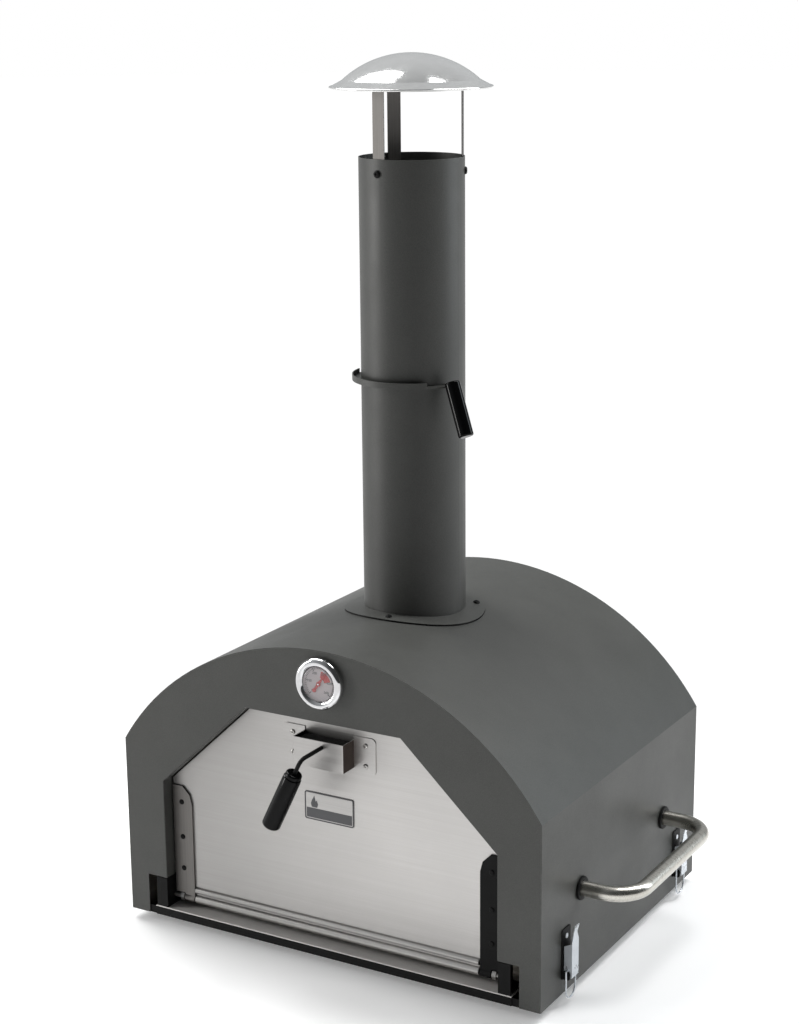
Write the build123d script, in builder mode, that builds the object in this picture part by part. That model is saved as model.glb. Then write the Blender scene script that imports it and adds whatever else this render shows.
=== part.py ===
from build123d import *
import os
from math import cos, radians, sin, sqrt

# Wood fired pizza oven: an arched sheet metal casing over a stone hearth, with a drop-down
# stainless door and a tall chimney with a swing damper and a rain cap.
# X runs left to right as seen from the door, Y from the door to the back, Z up.
# The origin is on the floor, under the middle of the overall footprint. Millimetres.

# ---- Driving dimensions ----
casing_width = 685.0
casing_depth = 530.0
eave_height = 272.0  # side walls, above the casing's bottom edge
casing_height = 460.0  # crown of the roof, above the casing's bottom edge
sheet = 1.5  # casing, door fittings and pipe
liner_sheet = 1.2
foot_height = 15.0
wall_space = 28.0  # from the casing's outer face to the liner's outer face
pipe_r = 75.0
pipe_height = 1112.0  # chimney rim, above the casing's bottom edge
cap_rim_height = 1208.0
cap_crown_height = 1254.0
cap_r = 114.0
close_gap = 0.1  # between fixed parts that fit inside each other
run_gap = 0.06  # radial clearance of a pin in its bearing

# ---- Door and latch reach, which set how far the footprint runs forward ----
door_setback = 22.0  # door face behind the casing's front
grip_reach = 83.0  # latch grip axis in front of the door face
grip_r = 13.5
screw_head = 2.5
front_reach = casing_depth / 2 - door_setback + grip_reach + grip_r
back_reach = casing_depth / 2 + screw_head
casing_y = (front_reach - back_reach) / 2

# ---- Levels and faces worked out from them ----
base_z = foot_height
apex_z = base_z + casing_height
half_width = casing_width / 2
roof_rise = casing_height - eave_height
roof_radius = (half_width**2 + roof_rise**2) / (2 * roof_rise)
roof_centre_z = apex_z - roof_radius
front_y = casing_y - casing_depth / 2
back_y = casing_y + casing_depth / 2
door_y = front_y + door_setback
pipe_top = base_z + pipe_height


def facing_front(y):
    """Upright plane at depth y: local x is X, local y is Z, and it faces the door side."""
    return Plane.XZ.offset(-y)


def level(z):
    return Plane.XY.offset(z)


def facing_out(side, y, z):
    """Plane on a side wall, side -1 or 1: local y is up, and it faces away from the casing."""
    return Plane(origin=(side * half_width, y, z), x_dir=(0, side, 0), z_dir=(side, 0, 0))


def around(azimuth, radius, z):
    """Point about the chimney's axis, azimuth in degrees from the front towards the right."""
    angle = radians(azimuth)
    return (radius * sin(angle), casing_y - radius * cos(angle), z)


def outward(azimuth, radius, z):
    """Plane about the chimney's axis that faces out at the azimuth, with local y up."""
    angle = radians(azimuth)
    return Plane(
        origin=around(azimuth, radius, z),
        x_dir=(cos(angle), sin(angle), 0),
        z_dir=(sin(angle), -cos(angle), 0),
    )


def casing_face(y, inset, bottom=base_z):
    """Section of the casing at depth y, drawn this far inside its outer face."""
    half = half_width - inset
    radius = roof_radius - inset
    spring_z = roof_centre_z + sqrt(radius**2 - half**2)
    with BuildSketch(facing_front(y)) as section:
        with BuildLine():
            Polyline((half, spring_z), (half, bottom), (-half, bottom), (-half, spring_z))
            ThreePointArc((-half, spring_z), (0, roof_centre_z + radius), (half, spring_z))
        make_face()
    return section.sketch


# ---- Door opening: flat top, two slanted corners, straight jambs, open at the bottom ----
opening_half = 276.0
opening_top_half = 127.0
opening_corner_z = base_z + 216.0
opening_top_z = base_z + 355.0


def opening_face(y, margin, bottom):
    """Outline of the door opening at depth y, grown by the margin, closed off at the bottom."""
    with BuildSketch(facing_front(y)) as section:
        with BuildLine():
            Polyline(
                (opening_half, bottom + margin),
                (opening_half, opening_corner_z),
                (opening_top_half, opening_top_z),
                (-opening_top_half, opening_top_z),
                (-opening_half, opening_corner_z),
                (-opening_half, bottom + margin),
                close=True,
            )
        make_face()
        if margin:
            offset(amount=margin, kind=Kind.INTERSECTION)
    return section.sketch


def roof_plane(x, y, lift=0.0):
    """Plane square to the roof above the point (x, y), lifted off its outer face."""
    lean = x / roof_radius
    upright = sqrt(1 - lean**2)
    reach = roof_radius + lift
    return Plane(origin=(reach * lean, y, roof_centre_z + reach * upright), z_dir=(lean, 0, upright))


# ---- Places that several parts share ----
flue_hole_r = pipe_r - sheet - 0.3
flange_screw_azimuths = (5, 125, 245)
flange_screw_radius = 91.0
flange_sheet = 2.5
side_handle_z = base_z + 135.0
side_handle_half = 142.0  # from the middle of the handle to each leg
handle_bolt_r = 4.0
latch_offsets = (-190.0, 195.0)  # toggle latches, along the side walls from the middle
latch_rivet_rise = (50.0, 84.0)
rivet_r = 2.0
notch_half = 310.0
notch_height = 62.0
gauge_x = 2.0
gauge_z = base_z + 414.0
gauge_stem_r = 4.0
back_screw_places = [(x, base_z + z) for x in (-318, 318) for z in (30, 245)]
back_screw_places += [(-170, base_z + 395), (170, base_z + 395)]
screw_r = 2.4
tail = 3.0  # how far screws and rivets stand through the casing

flange_screw_planes = []
for azimuth in flange_screw_azimuths:
    x, y, z = around(azimuth, flange_screw_radius, 0)
    flange_screw_planes.append(roof_plane(x, y))

latch_places = []
for side in (1, -1):
    for latch_offset in latch_offsets:
        latch_places.append(facing_out(side, casing_y + latch_offset, base_z))

handle_leg_planes = []
for side in (1, -1):
    for leg in (-side_handle_half, side_handle_half):
        handle_leg_planes.append(facing_out(side, casing_y + leg, side_handle_z))

# ---- Outer shell: roof and both side walls bent from one sheet ----
shell_outside = casing_face(back_y, 0)
shell_inside = casing_face(back_y, sheet)
with BuildPart() as outer_shell:
    extrude(shell_outside, amount=casing_depth)
    extrude(shell_inside, amount=casing_depth, mode=Mode.SUBTRACT)
    with Locations((0, casing_y, apex_z)):
        Cylinder(flue_hole_r, 60, mode=Mode.SUBTRACT)
    with Locations(*flange_screw_planes):
        Cylinder(screw_r + close_gap, 12, mode=Mode.SUBTRACT)
    with Locations(*handle_leg_planes):
        Cylinder(handle_bolt_r + close_gap, 12, mode=Mode.SUBTRACT)
    for place in latch_places:
        with Locations(place):
            with Locations(*[(0, rise, 0) for rise in latch_rivet_rise]):
                Cylinder(rivet_r + close_gap, 12, mode=Mode.SUBTRACT)

# ---- Front fascia: flat plate with a lip turned in all round the door opening ----
lip_depth = door_setback - 0.5
fascia_outside = casing_face(front_y, sheet + close_gap)
lip_outside = opening_face(front_y, sheet, base_z - 20)
opening = opening_face(front_y, 0, base_z - 20)
with BuildPart() as front_fascia:
    extrude(fascia_outside, amount=-sheet)
    extrude(lip_outside, amount=-lip_depth)
    extrude(opening, amount=-lip_depth, mode=Mode.SUBTRACT)
    with Locations((0, front_y, base_z + notch_height / 2)):
        Box(2 * notch_half, 4 * lip_depth, notch_height, mode=Mode.SUBTRACT)
    split(bisect_by=level(base_z), keep=Keep.TOP)
    with Locations(facing_front(front_y)):
        with Locations((gauge_x, gauge_z, 0)):
            Cylinder(gauge_stem_r + 1, 12, mode=Mode.SUBTRACT)
    rim_edges = front_fascia.edges().filter_by(
        lambda edge: abs(edge.center().Y - front_y) < 0.01
        and edge.geom_type == GeomType.LINE
        and abs(edge.center().X) < opening_half + 1
        and edge.center().Z > base_z + notch_height + 1
    )
    fillet(rim_edges, sheet * 0.9)

# ---- Back panel: flat plate, screwed along its edge ----
back_outside = casing_face(back_y, sheet + close_gap)
with BuildPart() as back_panel:
    extrude(back_outside, amount=sheet)
    with Locations(facing_front(back_y)):
        with Locations(*[(x, z, 0) for x, z in back_screw_places]):
            Cylinder(screw_r + close_gap, 12, mode=Mode.SUBTRACT)

# ---- Base pan: tray that closes the casing underneath, its front edge showing under the sill ----
pan_half = half_width - sheet - close_gap
pan_front_y = front_y + sheet + close_gap
pan_back_y = back_y - sheet - close_gap
pan_rim = 12.0
pan_front_rise = 12.7
pan_front_half = 298.0
with BuildPart() as base_pan:
    with BuildSketch(level(base_z)):
        with Locations((0, (pan_front_y + pan_back_y) / 2)):
            Rectangle(2 * pan_half, pan_back_y - pan_front_y)
    extrude(amount=pan_rim)
    with BuildSketch(level(base_z + sheet)):
        with Locations((0, (pan_front_y + pan_back_y) / 2)):
            Rectangle(2 * (pan_half - sheet), pan_back_y - pan_front_y - 2 * sheet)
    extrude(amount=pan_rim, mode=Mode.SUBTRACT)
    with Locations((0, front_y + sheet, base_z + sheet / 2)):
        Box(2 * pan_front_half, 2 * sheet, sheet)
    with Locations((0, front_y + sheet / 2, base_z + pan_front_rise / 2)):
        Box(2 * pan_front_half, sheet, pan_front_rise)

# ---- Feet: four short rubber feet set well in under the pan ----
foot_r = 17.0
foot_x = 250.0
foot_y = 180.0
with BuildPart() as feet:
    with Locations((0, casing_y, foot_height / 2)):
        with GridLocations(2 * foot_x, 2 * foot_y, 2, 2):
            Cylinder(foot_r, foot_height)
    chamfer(feet.edges().group_by(Axis.Z)[0], 2)

# ---- Sill: bright strip under the door, resting on the pan's front edge ----
sill_z = base_z + pan_front_rise
sill_top_z = sill_z + sheet
sill_half = 298.0
sill_depth = 60.0
with BuildPart() as sill_plate:
    with Locations((0, front_y + sill_depth / 2, sill_z + sheet / 2)):
        Box(2 * sill_half, sill_depth, sheet)
    with Locations((0, front_y + sill_depth - sheet / 2, sill_top_z - 5)):
        Box(2 * sill_half - 10, sheet, 10)
    fillet(sill_plate.edges().filter_by(Axis.X).sort_by(Axis.Y)[:2].sort_by(Axis.Z)[-1], 1.0)

# ---- Inner liner: steel arch around the cooking chamber ----
liner_front_y = front_y + 2 * sheet + 0.5
liner_back_y = back_y - wall_space
liner_bottom_z = base_z + sheet + close_gap
liner_outside = casing_face(liner_back_y, wall_space, liner_bottom_z)
liner_inside = casing_face(liner_back_y, wall_space + liner_sheet, liner_bottom_z)
with BuildPart() as inner_liner:
    extrude(liner_outside, amount=liner_back_y - liner_front_y)
    extrude(liner_inside, amount=liner_back_y - liner_front_y, mode=Mode.SUBTRACT)
    with Locations((0, casing_y, apex_z)):
        Cylinder(flue_hole_r, 120, mode=Mode.SUBTRACT)

back_liner_face = casing_face(liner_back_y, wall_space + liner_sheet + close_gap, liner_bottom_z)
with BuildPart() as back_liner:
    extrude(back_liner_face, amount=liner_sheet)

# ---- Insulation blanket: fills the space between the casing and the liner, and the back ----
blanket_inset = sheet + tail + 0.5
blanket_bottom_z = base_z + pan_rim + 1
blanket_outside = casing_face(back_y - blanket_inset, blanket_inset, blanket_bottom_z)
blanket_inside = casing_face(liner_back_y + 0.5, wall_space - 0.5, blanket_bottom_z)
handle_head = 6.0
with BuildPart() as insulation_blanket:
    extrude(blanket_outside, amount=back_y - blanket_inset - liner_front_y)
    extrude(blanket_inside, amount=casing_depth, mode=Mode.SUBTRACT)
    with Locations((0, casing_y, apex_z)):
        Cylinder(flue_hole_r + 2, 120, mode=Mode.SUBTRACT)
    with Locations(*handle_leg_planes):
        Cylinder(11, 2 * (sheet + handle_head + 2), mode=Mode.SUBTRACT)

# ---- Hearth: insulating board, steel tray and two cooking stones ----
hearth_half = 304.0
board_front_y = front_y + sill_depth + 1
board_back_y = liner_back_y - liner_sheet - 1
board_z = base_z + sheet + close_gap
board_thickness = 18.0
tray_z = board_z + board_thickness
tray_back_y = casing_y + 75.0
tray_rim = 12.0
stone_thickness = 15.0
with BuildPart() as hearth_board:
    with Locations((0, (board_front_y + board_back_y) / 2, board_z + board_thickness / 2)):
        Box(2 * hearth_half, board_back_y - board_front_y, board_thickness)

tray_depth = tray_back_y - board_front_y
tray_middle_y = (tray_back_y + board_front_y) / 2
with BuildPart() as stone_tray:
    with Locations((0, tray_middle_y, tray_z + tray_rim / 2)):
        Box(2 * hearth_half, tray_depth, tray_rim)
    with Locations((0, tray_middle_y, tray_z + sheet + tray_rim / 2)):
        Box(2 * hearth_half - 2 * sheet, tray_depth - 2 * sheet, tray_rim, mode=Mode.SUBTRACT)

stone_z = tray_z + sheet
stone_width = hearth_half - sheet - 1.5
stone_depth = tray_depth - 2 * sheet - 2
with BuildPart() as pizza_stones:
    with Locations((0, tray_middle_y, stone_z + stone_thickness / 2)):
        with GridLocations(stone_width + 1, 0, 2, 1):
            Box(stone_width, stone_depth, stone_thickness)
    chamfer(pizza_stones.edges().group_by(Axis.Z)[-1], 1.5)

# ---- Ember guard: slotted fence that keeps the fire at the back ----
guard_y = tray_back_y + 8.0
guard_height = 70.0
with BuildPart() as ember_guard:
    with BuildSketch(facing_front(guard_y)):
        with Locations((0, tray_z + guard_height / 2)):
            RectangleRounded(2 * hearth_half - 8, guard_height, 6)
        with Locations((0, tray_z + guard_height / 2 + 6)):
            with GridLocations(48, 1, 12, 1):
                SlotOverall(40, 9, rotation=90, mode=Mode.SUBTRACT)
    extrude(amount=2)
    with Locations((0, guard_y + 8, tray_z + 1)):
        Box(2 * hearth_half - 20, 20, 2)

# ---- Fire grate: welded rods that hold the wood off the board ----
grate_z = tray_z + 32.0
grate_front_y = guard_y + 26.0
grate_back_y = board_back_y - 6.0
grate_half = 282.0
grate_rod_r = 4.0
grate_leg_x = 260.0
grate_middle_y = (grate_front_y + grate_back_y) / 2
with BuildPart() as fire_grate:
    with Locations((0, grate_middle_y, grate_z)):
        with GridLocations(40, 1, 15, 1):
            Cylinder(grate_rod_r, grate_back_y - grate_front_y, rotation=(90, 0, 0))
    for y in (grate_front_y + 18, grate_back_y - 18):
        with Locations((0, y, grate_z - grate_rod_r - 1)):
            Box(2 * grate_half, 6, 6)
        for x in (-grate_leg_x, grate_leg_x):
            with Locations((x, y, (tray_z + grate_z - 6) / 2)):
                Box(6, 6, grate_z - 6 - tray_z)

# ---- Side handles: bent stainless tube, on black washers, bolted from inside ----
handle_tube_r = 11.0
handle_tube_wall = 1.5
handle_reach = 77.0  # tube axis in front of the side wall
handle_bend = 46.0
washer_thickness = 4.0
side_handles = {}
for side, name in ((-1, "side_handle_left"), (1, "side_handle_right")):
    start_x = side * (half_width + washer_thickness)
    end_x = side * (half_width + handle_reach)
    with BuildPart() as side_handle:
        with BuildLine():
            FilletPolyline(
                (start_x, casing_y - side_handle_half, side_handle_z),
                (end_x, casing_y - side_handle_half, side_handle_z),
                (end_x, casing_y + side_handle_half, side_handle_z),
                (start_x, casing_y + side_handle_half, side_handle_z),
                radius=handle_bend,
            )
        with BuildSketch(
            Plane(origin=(start_x, casing_y - side_handle_half, side_handle_z), z_dir=(side, 0, 0))
        ):
            Circle(handle_tube_r)
            Circle(handle_tube_r - handle_tube_wall, mode=Mode.SUBTRACT)
        sweep()
    side_handles[name] = side_handle

insert_length = 26.0
bolt_length = 20.0
with BuildPart() as handle_washers:
    for plane in handle_leg_planes:
        with BuildSketch(plane):
            Circle(17)
            Circle(handle_bolt_r + close_gap, mode=Mode.SUBTRACT)
        extrude(amount=washer_thickness)
    chamfer(handle_washers.edges().filter_by(GeomType.CIRCLE).sort_by(SortBy.RADIUS)[-8:], 1)

with BuildPart() as handle_inserts:
    for plane in handle_leg_planes:
        with BuildSketch(plane.offset(washer_thickness)):
            Circle(handle_tube_r - handle_tube_wall - close_gap)
            Circle(handle_bolt_r + close_gap, mode=Mode.SUBTRACT)
        extrude(amount=insert_length)

with BuildPart() as handle_bolts:
    for plane in handle_leg_planes:
        with BuildSketch(plane.offset(-sheet)):
            RegularPolygon(7.5, 6)
        extrude(amount=-handle_head)
        with BuildSketch(plane.offset(-sheet)):
            Circle(handle_bolt_r)
        extrude(amount=sheet + washer_thickness + bolt_length)

# ---- Chimney flange: saddle plate that follows the roof ----
flange_r = 104.0
saddle_lift = 0.05
saddle_outside = casing_face(casing_y + 120, -saddle_lift - flange_sheet)
saddle_inside = casing_face(casing_y + 120, -saddle_lift)
with BuildPart() as chimney_flange:
    extrude(saddle_outside, amount=240)
    extrude(saddle_inside, amount=240, mode=Mode.SUBTRACT)
    with Locations((0, casing_y, apex_z)):
        Cylinder(flange_r, 120, mode=Mode.INTERSECT)
        Cylinder(pipe_r + close_gap, 120, mode=Mode.SUBTRACT)
    with Locations(*flange_screw_planes):
        Cylinder(screw_r + close_gap, 12, mode=Mode.SUBTRACT)

with BuildPart() as flange_screws:
    for plane in flange_screw_planes:
        with BuildSketch(plane.offset(saddle_lift + flange_sheet)):
            Circle(4.8)
        extrude(amount=2.8, taper=18)
        with BuildSketch(plane.offset(saddle_lift + flange_sheet)):
            Circle(screw_r)
        extrude(amount=-(saddle_lift + flange_sheet + sheet + tail))

# ---- Flue collar: spigot from the chamber's crown up into the pipe ----
collar_bottom_z = apex_z - wall_space - 6
collar_height = 78.0
collar_r = flue_hole_r - 0.2
with BuildPart() as flue_collar:
    with BuildSketch(level(collar_bottom_z)):
        with Locations((0, casing_y)):
            Circle(collar_r)
            Circle(collar_r - sheet, mode=Mode.SUBTRACT)
    extrude(amount=collar_height)

# ---- Damper: disc that swings out of a slot in the pipe on a pin behind it ----
damper_facing = -22.0  # azimuth that the slot faces
damper_pivot_radius = 82.0
damper_z = base_z + 795.5
damper_sheet = 2.0
damper_disc_r = pipe_r - sheet - 1.0
damper_rim_r = 88.0
damper_rim_height = 8.5
slot_height = 4.0
slot_z = damper_z + damper_sheet / 2 - slot_height / 2
damper_pin_r = 3.0
damper_ear = 2.0
damper_play = 0.2

# ---- Rain cap legs: places ----
leg_azimuths = (-9, 113, -130)
leg_width = 20.0
leg_outer = 72.7  # outer face of each leg, from the pipe's axis
cap_screw_z = pipe_top - 20
cap_screw_r = 2.5

# ---- Chimney pipe: saddle cut at the foot, slotted for the damper ----
pipe_foot = casing_face(casing_y + 120, -saddle_lift - close_gap)
slot_frame = Plane(
    origin=around(damper_facing, 0, slot_z),
    x_dir=(sin(radians(damper_facing)), -cos(radians(damper_facing)), 0),
    z_dir=(0, 0, 1),
)
with BuildPart() as chimney_pipe:
    with BuildSketch(level(apex_z - 30)):
        with Locations((0, casing_y)):
            Circle(pipe_r)
            Circle(pipe_r - sheet, mode=Mode.SUBTRACT)
    extrude(amount=pipe_top - apex_z + 30)
    extrude(pipe_foot, amount=240, mode=Mode.SUBTRACT)
    with Locations(slot_frame):
        with Locations((pipe_r, 0, slot_height / 2)):
            Box(2 * pipe_r, 2.2 * pipe_r, slot_height, mode=Mode.SUBTRACT)
    for azimuth in leg_azimuths:
        with Locations(outward(azimuth, pipe_r, cap_screw_z)):
            Cylinder(cap_screw_r + close_gap, 12, mode=Mode.SUBTRACT)

damper_frame = slot_frame.offset(damper_z - slot_z)
pivot_local = (0, -damper_pivot_radius)
with BuildPart() as damper_plate:
    with BuildSketch(damper_frame):
        Circle(damper_rim_r)
        with Locations((-damper_rim_r, 0)):
            Rectangle(2 * damper_rim_r, 2 * damper_rim_r, mode=Mode.SUBTRACT)
        Circle(damper_disc_r)
        with Locations(pivot_local):
            Circle(6)
            Circle(damper_pin_r + run_gap, mode=Mode.SUBTRACT)
    extrude(amount=damper_sheet)
    with BuildSketch(damper_frame.offset(damper_sheet)):
        Circle(damper_rim_r)
        Circle(damper_rim_r - sheet, mode=Mode.SUBTRACT)
        with Locations((-damper_rim_r + 38, 0)):
            Rectangle(2 * damper_rim_r, 2 * damper_rim_r, mode=Mode.SUBTRACT)
    extrude(amount=damper_rim_height - damper_sheet)

with BuildPart() as damper_bracket:
    for low_z in (damper_z - damper_play - damper_ear, damper_z + damper_sheet + damper_play):
        with BuildSketch(damper_frame.offset(low_z - damper_z)):
            with Locations((0, -damper_pivot_radius)):
                Rectangle(15, 16)
            Circle(pipe_r + close_gap, mode=Mode.SUBTRACT)
            with Locations(pivot_local):
                Circle(damper_pin_r, mode=Mode.SUBTRACT)
        extrude(amount=damper_ear)

pin_foot = damper_z - damper_play - damper_ear
pin_span = 2 * (damper_ear + damper_play) + damper_sheet
with BuildPart() as damper_pin:
    with BuildSketch(damper_frame.offset(pin_foot - damper_z - 2)):
        with Locations(pivot_local):
            Circle(4.5)
    extrude(amount=2)
    with BuildSketch(damper_frame.offset(pin_foot - damper_z)):
        with Locations(pivot_local):
            Circle(damper_pin_r)
    extrude(amount=pin_span)
    with BuildSketch(damper_frame.offset(pin_foot - damper_z + pin_span)):
        with Locations(pivot_local):
            Circle(4.5)
    extrude(amount=2)

damper_handle_azimuth = 63.0
damper_rod_r = 2.5
damper_rod_z = damper_z + damper_rim_height / 2
damper_rod_out = 102.0
damper_grip_r = 11.0
damper_grip_length = 80.0
handle_slant = 26.0  # degrees from upright, for both black grips
slant_angle = radians(handle_slant)
grip_azimuth = radians(damper_handle_azimuth)
damper_grip_dir = Vector(
    sin(grip_azimuth) * sin(slant_angle), -cos(grip_azimuth) * sin(slant_angle), -cos(slant_angle)
)
damper_rod_start = Vector(*around(damper_handle_azimuth, damper_rim_r + 0.1, damper_rod_z))
damper_rod_bend = Vector(*around(damper_handle_azimuth, damper_rod_out, damper_rod_z))
damper_rod_end = damper_rod_bend + damper_grip_dir * 40
with BuildLine() as damper_rod_path:
    FilletPolyline(damper_rod_start, damper_rod_bend, damper_rod_end, radius=4)
damper_rod_face = outward(damper_handle_azimuth, damper_rim_r + 0.1, damper_rod_z)
with BuildPart() as damper_rod:
    with BuildSketch(damper_rod_face):
        Circle(damper_rod_r)
    sweep(path=damper_rod_path.line)

damper_grip_start = damper_rod_bend - damper_grip_dir * 6
with BuildPart() as damper_grip:
    with BuildSketch(Plane(origin=damper_grip_start, z_dir=damper_grip_dir)):
        Circle(damper_grip_r)
    extrude(amount=damper_grip_length)
    fillet(damper_grip.edges().filter_by(GeomType.CIRCLE), 2.5)
    with BuildSketch(damper_rod_face):
        Circle(damper_rod_r + close_gap)
    sweep(path=damper_rod_path.line, mode=Mode.SUBTRACT)
    with BuildSketch(Plane(origin=damper_rod_end, z_dir=damper_grip_dir)):
        Circle(damper_rod_r + close_gap)
    extrude(amount=1, mode=Mode.SUBTRACT)

# ---- Rain cap: spun dome with a flatter brim and a rolled edge, on three strip legs ----
cap_sheet = 1.2
cap_rim_z = base_z + cap_rim_height
cap_crown_z = base_z + cap_crown_height
brim_r = 97.0  # where the dome turns into the brim
brim_z = cap_rim_z + 9.0
dome_rise = cap_crown_z - brim_z
dome_radius = (brim_r**2 + dome_rise**2) / (2 * dome_rise)
dome_centre_z = cap_crown_z - dome_radius
inner_dome_r = dome_radius - cap_sheet
shrink = inner_dome_r / dome_radius
inner_brim = (brim_r * shrink, dome_centre_z + (brim_z - dome_centre_z) * shrink)
half_way = brim_r / 2
bead_r = 1.8
chimney_axis = Axis((0, casing_y, 0), (0, 0, 1))
with BuildPart() as cap_dome:
    with BuildSketch(facing_front(casing_y)):
        with BuildLine():
            ThreePointArc(
                (0, cap_crown_z),
                (half_way, dome_centre_z + sqrt(dome_radius**2 - half_way**2)),
                (brim_r, brim_z),
            )
            Polyline(
                (brim_r, brim_z),
                (cap_r, cap_rim_z),
                (cap_r - 0.5 * cap_sheet, cap_rim_z - cap_sheet),
                inner_brim,
            )
            ThreePointArc(
                inner_brim,
                (half_way, dome_centre_z + sqrt(inner_dome_r**2 - half_way**2)),
                (0, cap_crown_z - cap_sheet),
            )
            Line((0, cap_crown_z - cap_sheet), (0, cap_crown_z))
        make_face()
        with Locations((cap_r - 1, cap_rim_z - cap_sheet / 2)):
            Circle(bead_r)
    revolve(axis=chimney_axis)

leg_foot_z = cap_screw_z - 14
under_dome = dome_radius - cap_sheet - 3 * close_gap
with BuildPart() as cap_legs:
    for azimuth in leg_azimuths:
        with BuildSketch(outward(azimuth, leg_outer - sheet, 0)):
            with Locations((0, (leg_foot_z + cap_crown_z) / 2)):
                RectangleRounded(leg_width, cap_crown_z - leg_foot_z, 4)
        extrude(amount=sheet)
        with Locations(outward(azimuth, leg_outer - sheet, cap_screw_z)):
            Cylinder(cap_screw_r + close_gap, 12, mode=Mode.SUBTRACT)
    with BuildSketch(facing_front(casing_y)):
        with BuildLine():
            ThreePointArc(
                (0, dome_centre_z + under_dome),
                (under_dome * sin(0.5), dome_centre_z + under_dome * cos(0.5)),
                (under_dome * sin(1.0), dome_centre_z + under_dome * cos(1.0)),
            )
            Polyline(
                (under_dome * sin(1.0), dome_centre_z + under_dome * cos(1.0)),
                (under_dome * sin(1.0), cap_crown_z + 20),
                (0, cap_crown_z + 20),
                (0, dome_centre_z + under_dome),
            )
        make_face()
    revolve(axis=chimney_axis, mode=Mode.SUBTRACT)

with BuildPart() as cap_screws:
    for azimuth in leg_azimuths:
        with BuildSketch(outward(azimuth, pipe_r + 0.1, cap_screw_z)):
            Circle(5.5)
        extrude(amount=3.2)
        with BuildSketch(outward(azimuth, leg_outer - sheet - 8, cap_screw_z)):
            Circle(cap_screw_r)
        extrude(amount=pipe_r + 0.1 - leg_outer + sheet + 8)
        with BuildSketch(outward(azimuth, leg_outer - sheet - close_gap - 4, cap_screw_z)):
            RegularPolygon(4.6, 6)
        extrude(amount=4)

# ---- Door: stainless plate with a rolled hem along the hinge line ----
door_sheet = 2.0
door_gap = 2.0
hinge_y = door_y + door_sheet / 2
hinge_z = base_z + 28.0
hem_r = 6.5
hem_half = 238.0
bead_z = hinge_z + 14.0
bead_outer_r = 5.0
strap_inner = 240.0
strap_outer = 273.5
strap_top_z = base_z + 205.0
strap_sheet = 3.0
hinge_pin_r = 4.0
rod_x = 6.0
rod_z = base_z + 322.0
rod_r = 3.0
bracket_half = 76.0
bracket_low_z = base_z + 283.0
bracket_tall = 54.0
box_half = 41.0
box_low_z = base_z + 290.0
box_tall = 41.0
box_deep = 30.0
bracket_screw_places = [(x, bracket_low_z + z) for x in (-60, 60) for z in (12, 42)]
strap_rivet_places = [(s * 258, base_z + z) for s in (-1, 1) for z in (75, 125, 180)]
door_face = opening_face(door_y, -door_gap, base_z)
with BuildPart() as door_panel:
    extrude(door_face, amount=-door_sheet)
    split(bisect_by=level(hinge_z), keep=Keep.TOP)
    for side in (-1, 1):
        with Locations((side * (hem_half + 25), door_y, hinge_z)):
            Box(50, 40, 20, mode=Mode.SUBTRACT)
    with BuildSketch(Plane.YZ.offset(-hem_half)):
        with Locations((hinge_y, hinge_z)):
            Circle(hem_r)
    extrude(amount=2 * hem_half)
    with BuildSketch(Plane.YZ.offset(-hem_half)):
        with Locations((hinge_y, hinge_z)):
            Circle(hem_r - sheet)
    extrude(amount=2 * hem_half, mode=Mode.SUBTRACT)
    with BuildSketch(Plane.YZ.offset(-hem_half)):
        with Locations((door_y, bead_z)):
            Circle(bead_outer_r)
    extrude(amount=2 * hem_half)
    with BuildSketch(Plane.YZ.offset(-hem_half)):
        with Locations((door_y, bead_z)):
            Circle(bead_outer_r - liner_sheet)
    extrude(amount=2 * hem_half, mode=Mode.SUBTRACT)
    with Locations(facing_front(door_y)):
        with Locations((rod_x, rod_z, 0)):
            Cylinder(rod_r + run_gap, 12, mode=Mode.SUBTRACT)
        with Locations(*[(x, z, 0) for x, z in bracket_screw_places + strap_rivet_places]):
            Cylinder(rivet_r + close_gap, 12, mode=Mode.SUBTRACT)

# ---- Hinge straps: dark steel arms up the door's edges, with a knuckle at the foot ----
knuckle_length = 17.0
nut_room_r = 8.5  # the strap is cut back round the nut beside its knuckle
door_straps = {}
for side, name in ((-1, "door_strap_left"), (1, "door_strap_right")):
    with BuildPart() as door_strap:
        with BuildSketch(facing_front(door_y)):
            with BuildLine():
                Polyline(
                    (side * strap_inner, hinge_z),
                    (side * strap_outer, hinge_z),
                    (side * strap_outer, strap_top_z),
                    (side * (strap_inner + 16), strap_top_z),
                    (side * (strap_inner + 4), strap_top_z - 12),
                    (side * strap_inner, strap_top_z - 27),
                    close=True,
                )
            make_face()
        extrude(amount=strap_sheet)
        with BuildSketch(Plane.YZ.offset(side * strap_inner)):
            with Locations((hinge_y, hinge_z)):
                Circle(hem_r)
        extrude(amount=side * knuckle_length)
        with BuildSketch(Plane.YZ.offset(side * strap_inner)):
            with Locations((hinge_y, hinge_z)):
                Circle(hinge_pin_r + run_gap)
        extrude(amount=side * (strap_outer - strap_inner), mode=Mode.SUBTRACT)
        with BuildSketch(Plane.YZ.offset(side * (strap_inner + knuckle_length))):
            with Locations((hinge_y, hinge_z)):
                Circle(nut_room_r)
        extrude(amount=side * (strap_outer - strap_inner - knuckle_length), mode=Mode.SUBTRACT)
        with Locations(facing_front(door_y)):
            with Locations(*[(x, z, 0) for x, z in strap_rivet_places if x * side > 0]):
                Cylinder(rivet_r + close_gap, 12, mode=Mode.SUBTRACT)
    door_straps[name] = door_strap

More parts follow.
